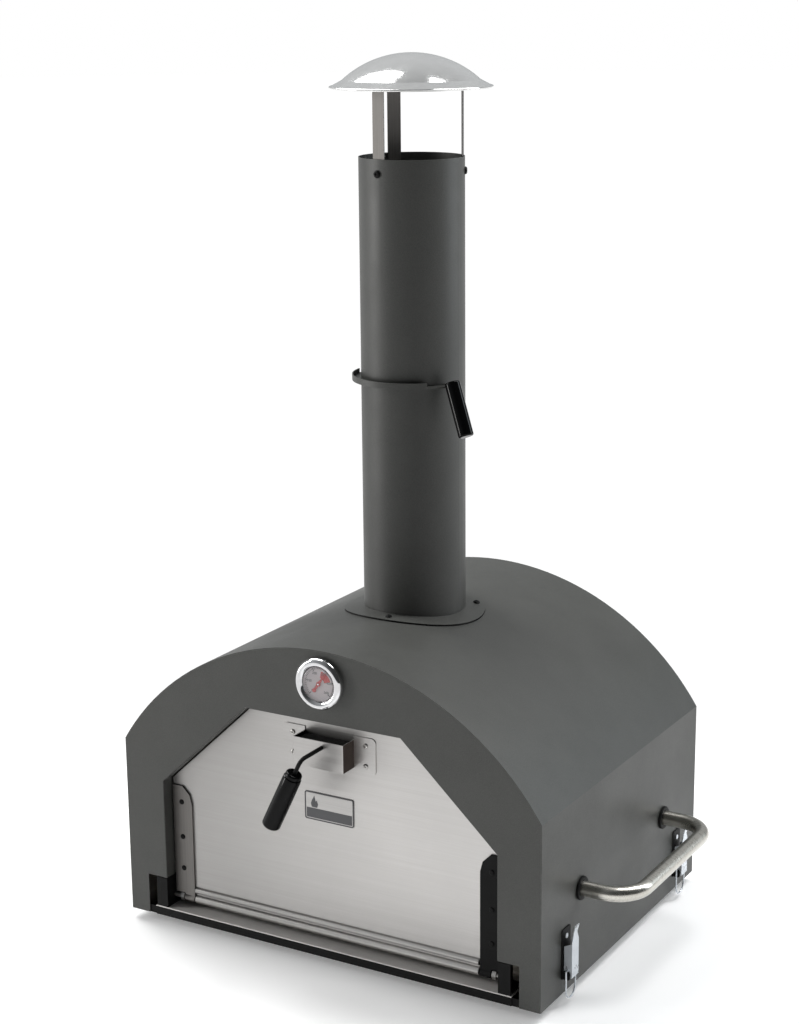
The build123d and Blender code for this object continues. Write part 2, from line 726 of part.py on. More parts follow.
with BuildPart() as strap_rivets:
    for x, z in strap_rivet_places:
        with BuildSketch(facing_front(door_y - strap_sheet)):
            with Locations((x, z)):
                Circle(4)
        extrude(amount=1.6, taper=30)
        with BuildSketch(facing_front(door_y - strap_sheet)):
            with Locations((x, z)):
                Circle(rivet_r)
        extrude(amount=-(strap_sheet + door_sheet))
        with BuildSketch(facing_front(door_y + door_sheet)):
            with Locations((x, z)):
                Circle(3.5)
        extrude(amount=-1)

# ---- Hinge brackets: black folded cheeks on the sill that carry the hinge pins ----
cheek_x = 277.0
cheek_sheet = 3.0
cheek_top_z = base_z + notch_height - 2
cheek_front_y = front_y + 1.0
cheek_back_y = front_y + 40.0
cheek_outer_x = 296.0
cheek_depth = cheek_back_y - cheek_front_y
cheek_rise = cheek_top_z - sill_top_z
cheek_middle_y = (cheek_front_y + cheek_back_y) / 2
cheek_middle_z = (sill_top_z + cheek_top_z) / 2
flange_middle_x = (cheek_x + cheek_outer_x) / 2
with BuildPart() as hinge_brackets:
    for side in (-1, 1):
        with Locations((side * (cheek_x + cheek_sheet / 2), cheek_middle_y, cheek_middle_z)):
            Box(cheek_sheet, cheek_depth, cheek_rise)
        with Locations((side * flange_middle_x, cheek_middle_y, sill_top_z + cheek_sheet / 2)):
            Box(cheek_outer_x - cheek_x, cheek_depth, cheek_sheet)
        with Locations((side * flange_middle_x, cheek_front_y + cheek_sheet / 2, cheek_middle_z)):
            Box(cheek_outer_x - cheek_x, cheek_sheet, cheek_rise)
    with BuildSketch(Plane.YZ.offset(-cheek_outer_x)):
        with Locations((hinge_y, hinge_z)):
            Circle(hinge_pin_r + close_gap)
    extrude(amount=2 * cheek_outer_x, mode=Mode.SUBTRACT)

nut_x = strap_inner + knuckle_length + 2
nut_length = 6.0
with BuildPart() as hinge_pins:
    for side in (-1, 1):
        with BuildSketch(Plane.YZ.offset(side * (strap_inner + 2))):
            with Locations((hinge_y, hinge_z)):
                Circle(hinge_pin_r)
        extrude(amount=side * (cheek_x + cheek_sheet - strap_inner - 2))
        with BuildSketch(Plane.YZ.offset(side * nut_x)):
            with Locations((hinge_y, hinge_z)):
                RegularPolygon(7, 6)
        extrude(amount=side * nut_length)
        with BuildSketch(Plane.YZ.offset(side * (cheek_x + cheek_sheet))):
            with Locations((hinge_y, hinge_z)):
                Circle(6.5)
        extrude(amount=side * 3)

# ---- Handle bracket: hat section that carries the latch spindle in front of the door ----
with BuildPart() as handle_bracket:
    with BuildSketch(facing_front(door_y)):
        with Locations((0, bracket_low_z + bracket_tall / 2)):
            RectangleRounded(2 * bracket_half, bracket_tall, 7)
            Rectangle(2 * box_half - 2 * sheet, bracket_tall, mode=Mode.SUBTRACT)
        with Locations(*bracket_screw_places):
            Circle(rivet_r + close_gap, mode=Mode.SUBTRACT)
    extrude(amount=sheet)
    with BuildSketch(level(box_low_z)):
        with Locations((0, door_y - box_deep / 2)):
            Rectangle(2 * box_half, box_deep)
        with Locations((0, door_y - box_deep / 2 + sheet)):
            Rectangle(2 * box_half - 2 * sheet, box_deep, mode=Mode.SUBTRACT)
    extrude(amount=box_tall)
    box_edges = handle_bracket.edges().filter_by(Axis.Z).sort_by(Axis.Y)[:2]
    fillet(box_edges, 1.3)
    with Locations(facing_front(door_y - box_deep)):
        with Locations((rod_x, rod_z, 0)):
            Cylinder(rod_r + run_gap, 12, mode=Mode.SUBTRACT)

with BuildPart() as bracket_screws:
    for x, z in bracket_screw_places:
        with BuildSketch(facing_front(door_y - sheet)):
            with Locations((x, z)):
                Circle(3.8)
        extrude(amount=2)
        with BuildSketch(facing_front(door_y - sheet)):
            with Locations((x, z)):
                Circle(rivet_r)
        extrude(amount=-(sheet + door_sheet))
        with BuildSketch(facing_front(door_y + door_sheet)):
            with Locations((x, z)):
                RegularPolygon(3.8, 6)
        extrude(amount=-1.6)

# ---- Door latch: bent spindle with a black grip in front and a cam behind the door ----
cam_front_y = door_y + door_sheet + 3.0
cam_sheet = 3.0
cam_hub = 8.0
cam_length = 52.0
cam_fit = 0.02
rod_bend_y = door_y - grip_reach
latch_dir = Vector(-sin(slant_angle), 0, -cos(slant_angle))
rod_bend = Vector(rod_x, rod_bend_y, rod_z)
rod_back = Vector(rod_x, cam_front_y + cam_hub, rod_z)
with BuildPart() as latch_rod:
    with BuildLine():
        FilletPolyline(rod_back, rod_bend, rod_bend + latch_dir * 55, radius=9)
    with BuildSketch(facing_front(cam_front_y + cam_hub)):
        with Locations((rod_x, rod_z)):
            Circle(rod_r)
    sweep()

grip_start = rod_bend + latch_dir * 22
grip_length = 95.0
with BuildPart() as latch_grip:
    with BuildSketch(Plane(origin=grip_start, z_dir=latch_dir)):
        Circle(grip_r)
    extrude(amount=grip_length)
    fillet(latch_grip.edges().filter_by(GeomType.CIRCLE), 3)
    with BuildSketch(Plane(origin=grip_start, z_dir=latch_dir)):
        Circle(rod_r + close_gap)
    extrude(amount=40, mode=Mode.SUBTRACT)

with BuildPart() as latch_cam:
    with BuildSketch(facing_front(cam_front_y)):
        with Locations((rod_x + cam_length / 2, rod_z)):
            SlotOverall(cam_length + 16, 16)
        with Locations((rod_x, rod_z)):
            Circle(rod_r + cam_fit, mode=Mode.SUBTRACT)
    extrude(amount=-cam_sheet)
    with BuildSketch(facing_front(cam_front_y)):
        with Locations((rod_x, rod_z)):
            Circle(8)
            Circle(rod_r + cam_fit, mode=Mode.SUBTRACT)
    extrude(amount=-cam_hub)

# ---- Nameplate: plain pressed badge ----
badge_x = -2.0
badge_z = base_z + 219.0
badge_width = 81.0
badge_tall = 42.0
badge_edge = 2.0
with BuildPart() as nameplate:
    with BuildSketch(facing_front(door_y)):
        with Locations((badge_x, badge_z)):
            RectangleRounded(badge_width, badge_tall, 3)
    extrude(amount=1.4)
    with BuildSketch(facing_front(door_y - 0.9)):
        with Locations((badge_x, badge_z)):
            RectangleRounded(badge_width - 2 * badge_edge, badge_tall - 2 * badge_edge, 2)
    extrude(amount=1, mode=Mode.SUBTRACT)

# ---- Thermometer: chrome case, dial, needle and glass, with a stem into the chamber ----
gauge_r = 37.5
gauge_window_r = 24.5
gauge_deep = 12.0
gauge_back = 1.5
dial_depth = 4.0
needle_depth = 5.6
glass_depth = 8.6
glass_sheet = 1.6
axle_r = 1.2
needle_angle = 35.0  # degrees from straight up, towards the right


def gauge_disc(depth):
    """Plane across the thermometer, this far in front of the fascia, centred on its axis."""
    return Plane(origin=(gauge_x, front_y - depth, gauge_z), x_dir=(1, 0, 0), z_dir=(0, -1, 0))


with BuildPart() as thermometer_bezel:
    with BuildSketch(gauge_disc(0)):
        Circle(gauge_r)
    extrude(amount=gauge_deep)
    fillet(thermometer_bezel.edges().group_by(Axis.Y)[0], 3)
    with BuildSketch(gauge_disc(gauge_back)):
        Circle(gauge_r - 2)
    extrude(amount=glass_depth + glass_sheet - gauge_back, mode=Mode.SUBTRACT)
    with BuildSketch(gauge_disc(0)):
        Circle(gauge_window_r)
    extrude(amount=gauge_deep, mode=Mode.SUBTRACT)
    with BuildSketch(gauge_disc(0)):
        Circle(gauge_r - 2)
        Circle(gauge_stem_r + close_gap, mode=Mode.SUBTRACT)
    extrude(amount=gauge_back)

with BuildPart() as thermometer_dial:
    with BuildSketch(gauge_disc(dial_depth)):
        Circle(gauge_r - 2.3)
        Circle(axle_r + 0.4, mode=Mode.SUBTRACT)
    extrude(amount=-0.8)

with BuildPart() as thermometer_glass:
    with BuildSketch(gauge_disc(glass_depth)):
        Circle(gauge_r - 2.3)
    extrude(amount=glass_sheet - 0.1)

with BuildPart() as thermometer_stem:
    with BuildSketch(gauge_disc(gauge_back)):
        Circle(gauge_stem_r)
    extrude(amount=-(gauge_back + 75))
    with BuildSketch(gauge_disc(gauge_back)):
        Circle(axle_r)
    extrude(amount=needle_depth + 1.4 - gauge_back)

needle_turn = Plane(
    origin=(gauge_x, front_y - needle_depth, gauge_z),
    x_dir=(sin(radians(needle_angle)), 0, cos(radians(needle_angle))),
    z_dir=(0, -1, 0),
)
with BuildPart() as thermometer_needle:
    with BuildSketch(needle_turn):
        with BuildLine():
            Polyline((22, 0), (0, 2.2), (-13, 1.6), (-13, -1.6), (0, -2.2), close=True)
        make_face()
        Circle(3.4)
        with Locations((-12, 0)):
            Circle(3)
        Circle(axle_r + run_gap, mode=Mode.SUBTRACT)
    extrude(amount=0.8)

with BuildPart() as thermometer_nut:
    with BuildSketch(gauge_disc(-sheet)):
        RegularPolygon(9.5, 6)
        Circle(gauge_stem_r + close_gap, mode=Mode.SUBTRACT)
    extrude(amount=-5)

# ---- Back panel screws ----
with BuildPart() as back_screws:
    for x, z in back_screw_places:
        with BuildSketch(Plane(origin=(x, back_y, z), x_dir=(-1, 0, 0), z_dir=(0, 1, 0))):
            Circle(4.6)
        extrude(amount=screw_head)
        with BuildSketch(Plane(origin=(x, back_y, z), x_dir=(-1, 0, 0), z_dir=(0, 1, 0))):
            Circle(screw_r)
        extrude(amount=-(sheet + tail))

# ---- Toggle latches: each plane has local x along the wall, y up and z away from the wall ----
latch_base_half = 13.0
latch_base_low = 22.0
latch_base_tall = 74.0
ear_inner = 11.0
ear_sheet = 1.5
lever_pivot = (30.0, 9.0)  # up, out
bail_pivot = (38.0, 8.5)
lever_web = (14.0, 15.2)
lever_half = 10.5
lever_top = 90.0
lever_sheet = 1.2
toggle_pin_r = 1.6
bail_wire_r = 1.3
bail_half = 14.7
bail_start = lever_half - 1.6
bail_foot = 9.0  # centre of the bail's round end, above the casing's bottom edge


def beside(place, along):
    """Plane square to the wall at this distance along it: local x is out, local y is up."""
    return Plane(
        origin=place.origin + place.x_dir * along,
        x_dir=place.z_dir,
        z_dir=place.z_dir.cross(place.y_dir),
    )


with BuildPart() as latch_bases:
    for place in latch_places:
        with BuildSketch(place):
            with Locations((0, latch_base_low + latch_base_tall / 2)):
                RectangleRounded(2 * latch_base_half, latch_base_tall, 3)
            with Locations(*[(0, rise) for rise in latch_rivet_rise]):
                Circle(rivet_r + close_gap, mode=Mode.SUBTRACT)
        extrude(amount=ear_sheet)
        for along in (-ear_inner - ear_sheet, ear_inner):
            with BuildSketch(beside(place, along)):
                with Locations((6.5, 30)):
                    RectangleRounded(13, 12, 3)
            extrude(amount=-ear_sheet)
        with BuildSketch(beside(place, -ear_inner - ear_sheet - 0.5)):
            with Locations((lever_pivot[1], lever_pivot[0])):
                Circle(toggle_pin_r)
        extrude(amount=-(2 * ear_inner + 2 * ear_sheet + 1))

with BuildPart() as latch_rivets:
    for place in latch_places:
        with BuildSketch(place.offset(ear_sheet)):
            with Locations(*[(0, rise) for rise in latch_rivet_rise]):
                Circle(3.6)
        extrude(amount=1)
        with BuildSketch(place.offset(ear_sheet)):
            with Locations(*[(0, rise) for rise in latch_rivet_rise]):
                Circle(rivet_r)
        extrude(amount=-(ear_sheet + sheet + tail - 0.5))

latch_levers = {}
latch_bails = {}
latch_names = ("right_front", "right_back", "left_front", "left_back")
for place, name in zip(latch_places, latch_names):
    with BuildPart() as latch_lever:
        with BuildSketch(place.offset(lever_web[0])):
            with BuildLine():
                Polyline(
                    (lever_half, 27), (lever_half, lever_top - 10), (6, lever_top), (6, lever_top + 3),
                    (-6, lever_top + 3), (-6, lever_top), (-lever_half, lever_top - 10), (-lever_half, 27),
                    close=True,
                )
            make_face()
        extrude(amount=lever_sheet)
        with BuildSketch(beside(place, -6)):
            with BuildLine():
                Polyline(
                    (lever_web[0], lever_top + 2), (lever_web[1], lever_top + 2),
                    (lever_web[1] + 3, lever_top + 13), (lever_web[1] + 1.5, lever_top + 13.5), close=True,
                )
            make_face()
        extrude(amount=-12)
        for along in (-lever_half, lever_half - lever_sheet):
            with BuildSketch(beside(place, along)):
                with BuildLine():
                    Polyline(
                        (3.4, 27), (lever_web[1], 27), (lever_web[1], lever_top - 12),
                        (3.4, lever_top - 18), close=True,
                    )
                make_face()
            extrude(amount=-lever_sheet)
        with BuildSketch(beside(place, -lever_half - 1)):
            with Locations((lever_pivot[1], lever_pivot[0])):
                Circle(toggle_pin_r + run_gap)
            with Locations((bail_pivot[1], bail_pivot[0])):
                Circle(bail_wire_r + run_gap)
        extrude(amount=-(2 * lever_half + 2), mode=Mode.SUBTRACT)
    latch_levers["latch_lever_" + name] = latch_lever

    bail_frame = place.offset(bail_pivot[1])
    with BuildPart() as latch_bail:
        with BuildLine(bail_frame):
            FilletPolyline(
                (bail_start, bail_pivot[0]), (bail_half, bail_pivot[0]), (bail_half, bail_foot), radius=2
            )
            RadiusArc((bail_half, bail_foot), (-bail_half, bail_foot), bail_half)
            FilletPolyline(
                (-bail_half, bail_foot), (-bail_half, bail_pivot[0]), (-bail_start, bail_pivot[0]), radius=2
            )
        with BuildSketch(
            Plane(
                origin=bail_frame.from_local_coords(Vector(bail_start, bail_pivot[0], 0)),
                z_dir=bail_frame.x_dir,
            )
        ):
            Circle(bail_wire_r)
        sweep()
    latch_bails["latch_bail_" + name] = latch_bail

# ---- Write one file for each part ----
parts = {
    "outer_shell": outer_shell,
    "front_fascia": front_fascia,
    "back_panel": back_panel,
    "back_screws": back_screws,
    "base_pan": base_pan,
    "feet": feet,
    "sill_plate": sill_plate,
    "inner_liner": inner_liner,
    "back_liner": back_liner,
    "insulation_blanket": insulation_blanket,
    "hearth_board": hearth_board,
    "stone_tray": stone_tray,
    "pizza_stones": pizza_stones,
    "ember_guard": ember_guard,
    "fire_grate": fire_grate,
    "handle_washers": handle_washers,
    "handle_inserts": handle_inserts,
    "handle_bolts": handle_bolts,
    "chimney_flange": chimney_flange,
    "flange_screws": flange_screws,
    "flue_collar": flue_collar,
    "chimney_pipe": chimney_pipe,
    "damper_plate": damper_plate,
    "damper_bracket": damper_bracket,
    "damper_pin": damper_pin,
    "damper_rod": damper_rod,
    "damper_grip": damper_grip,
    "cap_dome": cap_dome,
    "cap_legs": cap_legs,
    "cap_screws": cap_screws,
    "door_panel": door_panel,
    "strap_rivets": strap_rivets,
    "hinge_brackets": hinge_brackets,
    "hinge_pins": hinge_pins,
    "handle_bracket": handle_bracket,
    "bracket_screws": bracket_screws,
    "latch_rod": latch_rod,
    "latch_grip": latch_grip,
    "latch_cam": latch_cam,
    "nameplate": nameplate,
    "thermometer_bezel": thermometer_bezel,
    "thermometer_dial": thermometer_dial,
    "thermometer_glass": thermometer_glass,
    "thermometer_stem": thermometer_stem,
    "thermometer_needle": thermometer_needle,
    "thermometer_nut": thermometer_nut,
    "latch_bases": latch_bases,
    "latch_rivets": latch_rivets,
    **side_handles,
    **door_straps,
    **latch_levers,
    **latch_bails,
}
os.makedirs("parts", exist_ok=True)
for name, part in parts.items():
    part.part.label = name
    export_step(part.part, f"parts/{name}.step")
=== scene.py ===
from math import cos, pi, radians, sin

import bmesh
import bpy
from mathutils import Matrix, Vector


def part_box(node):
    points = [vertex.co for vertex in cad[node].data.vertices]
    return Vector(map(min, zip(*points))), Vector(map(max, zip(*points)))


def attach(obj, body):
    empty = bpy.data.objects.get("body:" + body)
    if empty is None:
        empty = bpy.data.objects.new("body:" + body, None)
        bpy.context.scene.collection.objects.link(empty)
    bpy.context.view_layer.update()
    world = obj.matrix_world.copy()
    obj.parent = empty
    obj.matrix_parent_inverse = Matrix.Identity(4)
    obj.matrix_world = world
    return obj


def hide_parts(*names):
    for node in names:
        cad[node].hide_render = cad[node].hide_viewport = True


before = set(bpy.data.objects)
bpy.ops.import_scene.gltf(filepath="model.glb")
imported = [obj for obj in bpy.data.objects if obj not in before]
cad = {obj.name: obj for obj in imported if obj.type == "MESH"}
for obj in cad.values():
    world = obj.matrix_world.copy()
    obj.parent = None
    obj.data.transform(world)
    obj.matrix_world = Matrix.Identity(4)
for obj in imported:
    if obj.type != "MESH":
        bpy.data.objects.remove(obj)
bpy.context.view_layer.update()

# ---- Studio ----
# The oven stands on a white sweep, as in a catalogue: two softboxes overhead, one at the
# right behind it, a tall one at the left in front, and a darker room on the viewer's side.
shell_low, shell_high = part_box("outer_shell")
front_y = shell_low.y

scene = bpy.context.scene
scene.view_settings.view_transform = "Standard"

camera_turn = 0.5293  # radians to the right of straight in front
camera_drop = 0.2505  # radians below level
camera_roll = -0.00954
camera_place = Vector((1.4624, front_y - 2.2779, shell_low.z + 1.3476))
ahead = cos(camera_drop)
look = Vector((-sin(camera_turn) * ahead, cos(camera_turn) * ahead, -sin(camera_drop)))
level_right = look.cross(Vector((0, 0, 1))).normalized()
level_up = level_right.cross(look)
right = level_right * cos(camera_roll) + level_up * sin(camera_roll)
up = level_up * cos(camera_roll) - level_right * sin(camera_roll)
camera_data = bpy.data.cameras.new("studio_camera")
camera_data.lens = 72.75
camera_data.sensor_width = 36
camera = bpy.data.objects.new("studio_camera", camera_data)
camera_axes = Matrix((right, up, -look)).transposed().to_4x4()
camera.matrix_world = Matrix.Translation(camera_place) @ camera_axes
scene.collection.objects.link(camera)
scene.camera = camera


def node(tree, kind, **settings):
    """One shader node with its settings; a setting named by a socket sets that input."""
    made = tree.nodes.new("ShaderNode" + kind)
    for name, value in settings.items():
        label = name.replace("_", " ").title()
        if label in made.inputs:
            made.inputs[label].default_value = value
        else:
            setattr(made, name, value)
    return made


def wire(tree, *pairs):
    """Join sockets, each pair written as output, input."""
    for start, end in pairs:
        tree.links.new(start, end)


def sweep_world():
    """White to the eye, and as light a dim room that is darkest on the viewer's side."""
    world = bpy.data.worlds.new("white_studio")
    world.use_nodes = True
    tree = world.node_tree
    tree.nodes.clear()
    seen = node(tree, "Background", color=(1, 1, 1, 1), strength=1.0)
    room = node(tree, "Background", color=(0.95, 0.98, 1.0, 1))
    place = node(tree, "TexCoord")
    towards = node(tree, "VectorMath", operation="DOT_PRODUCT")
    towards.inputs[1].default_value = (0.93, -0.36, 0.08)
    fall = node(tree, "MapRange", interpolation_type="SMOOTHSTEP")
    for label, value in (("From Min", -0.5), ("From Max", 0.7), ("To Min", 0.4), ("To Max", 0.05)):
        fall.inputs[label].default_value = value
    path = node(tree, "LightPath")
    mix = node(tree, "MixShader")
    out = node(tree, "OutputWorld")
    wire(
        tree,
        (place.outputs["Generated"], towards.inputs[0]),
        (towards.outputs["Value"], fall.inputs["Value"]),
        (fall.outputs["Result"], room.inputs["Strength"]),
        (path.outputs["Is Camera Ray"], mix.inputs["Fac"]),
        (room.outputs["Background"], mix.inputs[1]),
        (seen.outputs["Background"], mix.inputs[2]),
        (mix.outputs["Shader"], out.inputs["Surface"]),
    )
    scene.world = world


def softbox(name, place, aim, width, height, power, colour=(1, 1, 1)):
    """A rectangular studio light that faces the point it is aimed at."""
    light = bpy.data.lights.new(name, "AREA")
    light.shape = "RECTANGLE"
    light.size = width
    light.size_y = height
    light.energy = power
    light.color = colour
    lamp = bpy.data.objects.new(name, light)
    lamp.location = place
    lamp.rotation_euler = (Vector(aim) - Vector(place)).to_track_quat("-Z", "Y").to_euler()
    scene.collection.objects.link(lamp)


oven_middle = (0, 0, 0.4)
sweep_world()
softbox("overhead_left_softbox", (-1.5, 0.2, 2.7), oven_middle, 0.9, 2.2, 64)
softbox("overhead_right_softbox", (1.15, 0.9, 2.7), oven_middle, 0.8, 2.0, 58)
softbox("right_softbox", (2.3, 1.9, 1.5), (0, 0, 0.6), 0.9, 2.0, 28, (0.88, 0.95, 1.0))
softbox("left_softbox", (-2.6, -1.5, 1.1), (0, 0, 0.6), 0.45, 2.2, 46, (1.0, 0.99, 0.97))

# ---- Floor ----
# A plain sheet of pale paper under the oven, which isn't part of the object. Beyond the
# oven's soft shadow it is lit to pure white.
def open_effect(name, wants, gives):
    """Start a reusable finish effect with named inputs and outputs."""
    tree = bpy.data.node_groups.new(name, "ShaderNodeTree")
    for label, kind, value in wants:
        socket = tree.interface.new_socket(label, in_out="INPUT", socket_type="NodeSocket" + kind)
        socket.default_value = value
    for label, kind in gives:
        tree.interface.new_socket(label, in_out="OUTPUT", socket_type="NodeSocket" + kind)
    return tree, tree.nodes.new("NodeGroupInput"), tree.nodes.new("NodeGroupOutput")


def mottle_effect():
    """Cloudy unevenness, for dust, handling marks and stone."""
    tree, given, out = open_effect(
        "mottle",
        [("Size", "Float", 0.1), ("Low", "Float", 0.0), ("High", "Float", 1.0)],
        [("Cloud", "Float")],
    )
    place = node(tree, "TexCoord")
    count = node(tree, "Math", operation="DIVIDE")
    count.inputs[0].default_value = 1.0
    cloud = node(tree, "TexNoise", detail=5.0, roughness=0.6)
    spread = node(tree, "MapRange")
    spread.inputs["From Min"].default_value = 0.32
    spread.inputs["From Max"].default_value = 0.68
    wire(
        tree,
        (given.outputs["Size"], count.inputs[1]),
        (count.outputs[0], cloud.inputs["Scale"]),
        (place.outputs["Object"], cloud.inputs["Vector"]),
        (cloud.outputs["Fac"], spread.inputs["Value"]),
        (given.outputs["Low"], spread.inputs["To Min"]),
        (given.outputs["High"], spread.inputs["To Max"]),
        (spread.outputs["Result"], out.inputs["Cloud"]),
    )
    return tree


mottle = mottle_effect()


def use_effect(tree, effect, **settings):
    """Place an effect in a material with its own values."""
    made = tree.nodes.new("ShaderNodeGroup")
    made.node_tree = effect
    for name, value in settings.items():
        made.inputs[name.replace("_", " ").capitalize()].default_value = value
    return made


def finish_of(name, colour, metallic=0.0, roughness=0.5, **sockets):
    """A material with its Principled shader, ready for its effects."""
    material = bpy.data.materials.new(name)
    material.use_nodes = True
    shader = material.node_tree.nodes["Principled BSDF"]
    shader.inputs["Base Color"].default_value = (*colour, 1)
    shader.inputs["Metallic"].default_value = metallic
    shader.inputs["Roughness"].default_value = roughness
    for label, value in sockets.items():
        shader.inputs[label.replace("_", " ")].default_value = value
    return material, material.node_tree, shader


def pale_sweep():
    """A wide sheet of white paper; beyond the oven's shadow it is lit to pure white."""
    bm = bmesh.new()
    bmesh.ops.create_circle(bm, cap_ends=True, segments=96, radius=30)
    mesh = bpy.data.meshes.new("pale_floor")
    bm.to_mesh(mesh)
    bm.free()
    floor = bpy.data.objects.new("pale_floor", mesh)
    scene.collection.objects.link(floor)
    material, tree, shader = finish_of("pale_paper", (0.9, 0.9, 0.9), roughness=0.9)
    shader.inputs["Emission Color"].default_value = (1, 1, 1, 1)
    cloud = use_effect(tree, mottle, size=0.8, low=0.86, high=0.92)
    place = node(tree, "TexCoord")
    reach = node(tree, "VectorMath", operation="LENGTH")
    lit = node(tree, "MapRange", interpolation_type="SMOOTHSTEP")
    unlit = node(tree, "MapRange", interpolation_type="SMOOTHSTEP")
    for fade, near, far in ((lit, 0.22, 1.0), (unlit, 0.9, 0.0)):
        for label, value in (("From Min", 0.45), ("From Max", 1.15), ("To Min", near), ("To Max", far)):
            fade.inputs[label].default_value = value
    wire(
        tree,
        (cloud.outputs["Cloud"], shader.inputs["Roughness"]),
        (place.outputs["Object"], reach.inputs[0]),
        (reach.outputs["Value"], lit.inputs["Value"]),
        (reach.outputs["Value"], unlit.inputs["Value"]),
        (lit.outputs["Result"], shader.inputs["Emission Strength"]),
        (unlit.outputs["Result"], shader.inputs["Base Color"]),
    )
    mesh.materials.append(material)


pale_sweep()

# ---- Base pan and feet ----
# The pan is folded from steel sheet and stove-enamelled black, and it closes the oven's
# underside. Four short rubber feet are set well in under it.
def dress(material, *names):
    """Give CAD parts their finish."""
    for name in names:
        mesh = cad[name].data
        mesh.materials.clear()
        mesh.materials.append(material)


def grain_effect():
    """Fine raised grain of a powder coat or casting."""
    tree, given, out = open_effect(
        "raised_grain",
        [("Grain", "Float", 0.001), ("Patchiness", "Float", 0.3)],
        [("Height", "Float"), ("Fleck", "Float")],
    )
    place = node(tree, "TexCoord")
    count = node(tree, "Math", operation="DIVIDE")
    count.inputs[0].default_value = 1.0
    twice = node(tree, "Math", operation="MULTIPLY")
    twice.inputs[1].default_value = 2.7
    coarse = node(tree, "TexNoise", detail=2.0, roughness=0.5)
    fine = node(tree, "TexVoronoi", feature="F1")
    blend = node(tree, "Mix")
    fleck = node(tree, "MapRange")
    fleck.inputs["From Min"].default_value = 0.35
    fleck.inputs["From Max"].default_value = 0.7
    wire(
        tree,
        (given.outputs["Grain"], count.inputs[1]),
        (count.outputs[0], coarse.inputs["Scale"]),
        (count.outputs[0], twice.inputs[0]),
        (twice.outputs[0], fine.inputs["Scale"]),
        (place.outputs["Object"], coarse.inputs["Vector"]),
        (place.outputs["Object"], fine.inputs["Vector"]),
        (given.outputs["Patchiness"], blend.inputs["Factor"]),
        (coarse.outputs["Fac"], blend.inputs["A"]),
        (fine.outputs["Distance"], blend.inputs["B"]),
        (blend.outputs["Result"], out.inputs["Height"]),
        (coarse.outputs["Fac"], fleck.inputs["Value"]),
        (fleck.outputs["Result"], out.inputs["Fleck"]),
    )
    return tree


def edge_wear_effect():
    """Mask that is strongest where the surface turns sharply, broken up by noise."""
    tree, given, out = open_effect(
        "edge_wear",
        [("Width", "Float", 0.0015), ("Amount", "Float", 0.5)],
        [("Mask", "Float")],
    )
    rounded = node(tree, "Bevel", samples=4)
    surface = node(tree, "NewGeometry")
    turn = node(tree, "VectorMath", operation="DOT_PRODUCT")
    sharp = node(tree, "MapRange")
    sharp.inputs["From Min"].default_value = 0.99
    sharp.inputs["From Max"].default_value = 0.75
    place = node(tree, "TexCoord")
    breaks = node(tree, "TexNoise", scale=90.0, detail=4.0)
    worn = node(tree, "MapRange")
    worn.inputs["From Min"].default_value = 0.42
    worn.inputs["From Max"].default_value = 0.62
    mask = node(tree, "Math", operation="MULTIPLY")
    scaled = node(tree, "Math", operation="MULTIPLY")
    wire(
        tree,
        (given.outputs["Width"], rounded.inputs["Radius"]),
        (rounded.outputs["Normal"], turn.inputs[0]),
        (surface.outputs["Normal"], turn.inputs[1]),
        (turn.outputs["Value"], sharp.inputs["Value"]),
        (place.outputs["Object"], breaks.inputs["Vector"]),
        (breaks.outputs["Fac"], worn.inputs["Value"]),
        (sharp.outputs["Result"], mask.inputs[0]),
        (worn.outputs["Result"], mask.inputs[1]),
        (mask.outputs[0], scaled.inputs[0]),
        (given.outputs["Amount"], scaled.inputs[1]),
        (scaled.outputs[0], out.inputs["Mask"]),
    )
    return tree


raised_grain = grain_effect()
edge_wear = edge_wear_effect()


def painted_steel(name, colour, worn, rough_low, rough_high, grain=0.0011, wear=0.35, bump=0.25):
    """Powder coat or stove enamel over steel: grain, uneven sheen and rubbed edges."""
    material, tree, shader = finish_of(name, colour, roughness=rough_low, Specular_IOR_Level=0.45)
    texture = use_effect(tree, raised_grain, grain=grain, patchiness=0.35)
    cloud = use_effect(tree, mottle, size=0.16, low=rough_low, high=rough_high)
    dust = use_effect(tree, mottle, size=0.05, low=0.0, high=0.16)
    edge = use_effect(tree, edge_wear, width=0.0012, amount=wear)
    speckle = node(tree, "Mix", data_type="RGBA")
    speckle.inputs["A"].default_value = (*[c * 0.8 for c in colour], 1)
    speckle.inputs["B"].default_value = (*[c * 1.22 for c in colour], 1)
    dusty = node(tree, "Mix", data_type="RGBA")
    dusty.inputs["B"].default_value = (*[c * 1.5 + 0.01 for c in colour], 1)
    rubbed = node(tree, "Mix", data_type="RGBA")
    rubbed.inputs["B"].default_value = (*worn, 1)
    bumps = node(tree, "Bump", strength=bump, distance=0.0003)
    wire(
        tree,
        (texture.outputs["Fleck"], speckle.inputs["Factor"]),
        (speckle.outputs["Result"], dusty.inputs["A"]),
        (dust.outputs["Cloud"], dusty.inputs["Factor"]),
        (dusty.outputs["Result"], rubbed.inputs["A"]),
        (edge.outputs["Mask"], rubbed.inputs["Factor"]),
        (rubbed.outputs["Result"], shader.inputs["Base Color"]),
        (cloud.outputs["Cloud"], shader.inputs["Roughness"]),
        (texture.outputs["Height"], bumps.inputs["Height"]),
        (bumps.outputs["Normal"], shader.inputs["Normal"]),
    )
    return material


black_enamel = painted_steel(
    "black_enamel", (0.004, 0.004, 0.004), (0.04, 0.038, 0.035), 0.5, 0.65, grain=0.0008, wear=0.25
)
black_enamel.node_tree.nodes["Principled BSDF"].inputs["Specular IOR Level"].default_value = 0.15
dress(black_enamel, "base_pan")


